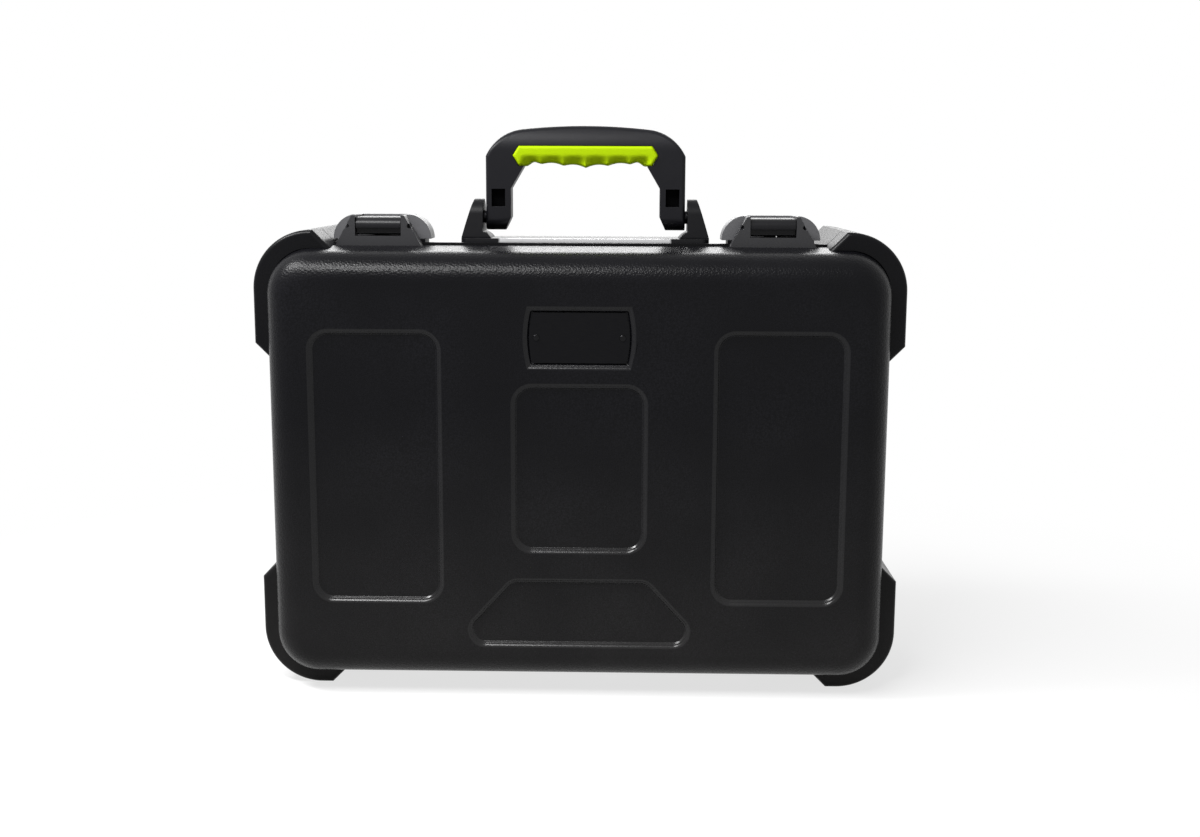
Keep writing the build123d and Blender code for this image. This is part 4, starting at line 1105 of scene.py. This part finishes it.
# Painted reflection: bright metal on the lip between the brackets.
painted_shine = between_brackets * on_the_lip
scuffs = plate.noise(220.0, detail=4.0)
plate.feed("Base Color", plate.blend(painted_shine, (0.005, 0.005, 0.006), (0.74, 0.74, 0.75)))
plate.feed("Metallic", painted_shine)
plate.feed("Roughness", 0.26 + scuffs * 0.18)
plate.relief(scuffs, 0.01 * MM)
plate_painted_shine = plate.material
print("the lip is bare over", 2 * shine_half / MM, "mm")

# %% [markdown]
# Each piece takes the finish of its slot, and a few parts take their own, on the left as on the right. The
# softened copy that stands in for a frame piece gets the same finish.

# %% Dress every piece
finish_of_slot = {
    "shell_plastic": shell_black,
    "guard_plastic": guard_black,
    "rim_plastic": rim_black,
    "seal_rubber": seal_rubber,
    "handle_plastic": handle_grey,
    "grip_rubber": grip_lime,
    "latch_plastic": latch_grey,
    "fastener_steel": screw_steel,
    "hinge_steel": hinge_black,
    "badge_metal": badge_dark,
    "foam": foam_grey,
}
own_finish = {
    "badge_rivets": rivet_dark,
    "handle_pins": pin_black,
    "handle_bracket": bracket_black,
    "handle_plate": plate_painted_shine,
    "keeper_housing": keeper_painted_light_grey,
    "keeper_plate": bracket_black,
    "latch_lever": lever_black,
    "latch_pin": pin_black,
}


def dress(piece, material):
    """Give one object one material and nothing else."""
    piece.data.materials.clear()
    piece.data.materials.append(material)


for node, piece in nodes.items():
    own = [finish for part, finish in own_finish.items() if node.startswith(part)]
    material = own[0] if own else finish_of_slot[slot_of_node[node]]
    dress(piece, material)
    if node in soft_parts:
        dress(soft_parts[node], material)
for piece in (lid_skin, base_skin):
    dress(piece, shell_black)
for piece in (tray, lining, pad):
    dress(piece, foam_grey)
dress(grip, grip_lime)
print(len(nodes), "frame pieces dressed")

# %% [markdown]
# A piece can have a second finish on some of its faces. On the shells those are the lips of the recesses.
# On the handle they are the floors of the blind windows, painted near black as the shade of a deep slot.

# %% Smooth the lips and paint shade into the handle's windows
lip_inset = 0.05 * MM


def dress_faces(piece, material, wanted):
    """Give the faces that pass the test a second finish."""
    piece.data.materials.append(material)
    edit(piece)
    found = pick_faces(piece, wanted)
    piece.active_material_index = 1
    bpy.ops.object.material_slot_assign()
    close()
    print(piece.name, "has", found, "faces in", material.name)


for piece, face_y in ((lid_skin, lid_face_y), (base_skin, base_face_y)):
    dress_faces(
        piece,
        lip_black,
        lambda centre, normal: lip_inset < abs(centre.y - face_y) < recess_depth - lip_inset
        and abs(centre.x) < lip_zone[0]
        and abs(centre.z - middle_z) < lip_zone[1],
    )

# The window floors take the painted shade.
window_low_z, window_high_z = handle_low.z + 10 * MM, handle_low.z + 50 * MM
dress_faces(
    soft_parts["handle_frame"],
    window_painted_shade,
    lambda centre, normal: handle_low.y + MM < centre.y < handle_high.y - MM
    and window_low_z < centre.z < window_high_z
    and abs(normal.y) > facing,
)

# %% [markdown]
# ## Stage, lamps and camera
#
# The case stands on a pale floor in a pale room. Both are white to the camera and in reflections, which
# gives the bright lines along the plastic's edges, but throw little light on the case: a mask tells the
# rays that look at things from those that light them.

# %% White only where it is seen
def seen_share(sheet):
    """1 for a ray from the camera, a mirror or glass, and 0 for the light that falls on things."""
    kinds = ("Is Camera Ray", "Is Glossy Ray", "Is Transmission Ray")
    seen, mirrored, through_glass = (sheet.node("ShaderNodeLightPath", output=kind) for kind in kinds)
    return (seen + mirrored + through_glass).between(0.0, 1.0)


white = (1.0, 1.0, 1.0, 1.0)
print("white is a strength of 1")

# %% [markdown]
# The floor is a large plane just under the guards. Near the case part of it is matt paint, which keeps the
# case's shadow. Further out it fades into the white of the room.

# %% Floor
floor_reach, floor_drop, floor_grey = 6.0, 0.05 * MM, (0.84, 0.84, 0.84, 1.0)
near_white, fade_start, fade_end = 0.72, 0.28, 0.75
bpy.ops.mesh.primitive_plane_add(size=2 * floor_reach, location=(0.0, 0.0, -floor_drop))
floor = name_new("floor")
floor_paint = bpy.data.materials.new("floor paint")
sheet = NodeSheet(floor_paint)
place = sheet.node("ShaderNodeTexCoord", output="Object")
away = sheet.node("ShaderNodeVectorMath", output="Value", settings={"operation": "LENGTH"}, Vector=place)
share = seen_share(sheet) * (near_white + (1 - near_white) * away.between(fade_start, fade_end))
matt = sheet.node("ShaderNodeBsdfDiffuse", Color=floor_grey)
glow = sheet.node("ShaderNodeEmission", Color=white, Strength=1.0)
mixed = sheet.node("ShaderNodeMixShader", sockets={0: share, 1: matt, 2: glow})
sheet.node("ShaderNodeOutputMaterial", output=None, Surface=mixed)
floor.data.materials.append(floor_paint)
print("floor laid,", 2 * floor_reach, "m across")

# %% [markdown]
# The room is white where it is seen, and lights the case only softly from all sides.

# %% Room
room_light = 0.22
room = bpy.data.worlds.new("room")
bpy.context.scene.world = room
sheet = NodeSheet(room)
plain = sheet.node("ShaderNodeBackground", Color=white, Strength=1.0)
lit = sheet.node("ShaderNodeBackground", Color=white, Strength=room_light)
mixed = sheet.node("ShaderNodeMixShader", sockets={0: seen_share(sheet), 1: lit, 2: plain})
sheet.node("ShaderNodeOutputWorld", output=None, Surface=mixed)
print("room is white")

# %% [markdown]
# One softbox hangs in front, above and well to the left. It draws the bright band along the lid's upper
# round. A wide one behind puts the shine on all that faces up, and a small lamp on the left picks out the
# lid's corner and the guard's rim.

# %% Lamps
def lamp(name, place, aim, size, power):
    """A rectangular soft lamp at a place, turned to its aim."""
    light = bpy.data.lights.new(name, "AREA")
    light.shape = "RECTANGLE"
    light.size, light.size_y = size
    light.energy = power
    holder = bpy.data.objects.new(name, light)
    bpy.context.scene.collection.objects.link(holder)
    holder.location = place
    holder.rotation_euler = (Vector(aim) - Vector(place)).to_track_quat("-Z", "Y").to_euler()
    return holder


lamps = [
    lamp("front softbox", (-0.60, -0.62, 1.32), (-0.12, -0.05, 0.32), (1.25, 0.20), 34.0),
    lamp("back softbox", (-0.20, 1.70, 1.05), (0.0, 0.0, 0.2), (2.0, 0.6), 16.0),
    lamp("left lamp", (-1.00, -0.36, 1.25), (-0.2, 0.0, 0.3), (0.20, 0.20), 6.5),
]
print(len(lamps), "lamps")

# %% [markdown]
# The camera looks at the lid from a little above, through a lens that keeps the sides nearly straight.

# %% Camera
camera_data = bpy.data.cameras.new("camera")
camera_data.lens, camera_data.sensor_width = 43.5, 36.0
camera = bpy.data.objects.new("camera", camera_data)
bpy.context.scene.collection.objects.link(camera)
camera_place = (0.0381, -1.139, 0.3914)
look_down, look_left, roll = radians(9.56), radians(1.17), 0.0041
camera.matrix_world = (
    Matrix.Translation(camera_place)
    @ Matrix.Rotation(look_left, 4, "Z")
    @ Matrix.Rotation(pi / 2 - look_down, 4, "X")
    @ Matrix.Rotation(roll, 4, "Z")
)
bpy.context.scene.camera = camera
bpy.context.scene.view_settings.view_transform = "Standard"
print("camera at", [round(v, 3) for v in camera.matrix_world.translation])
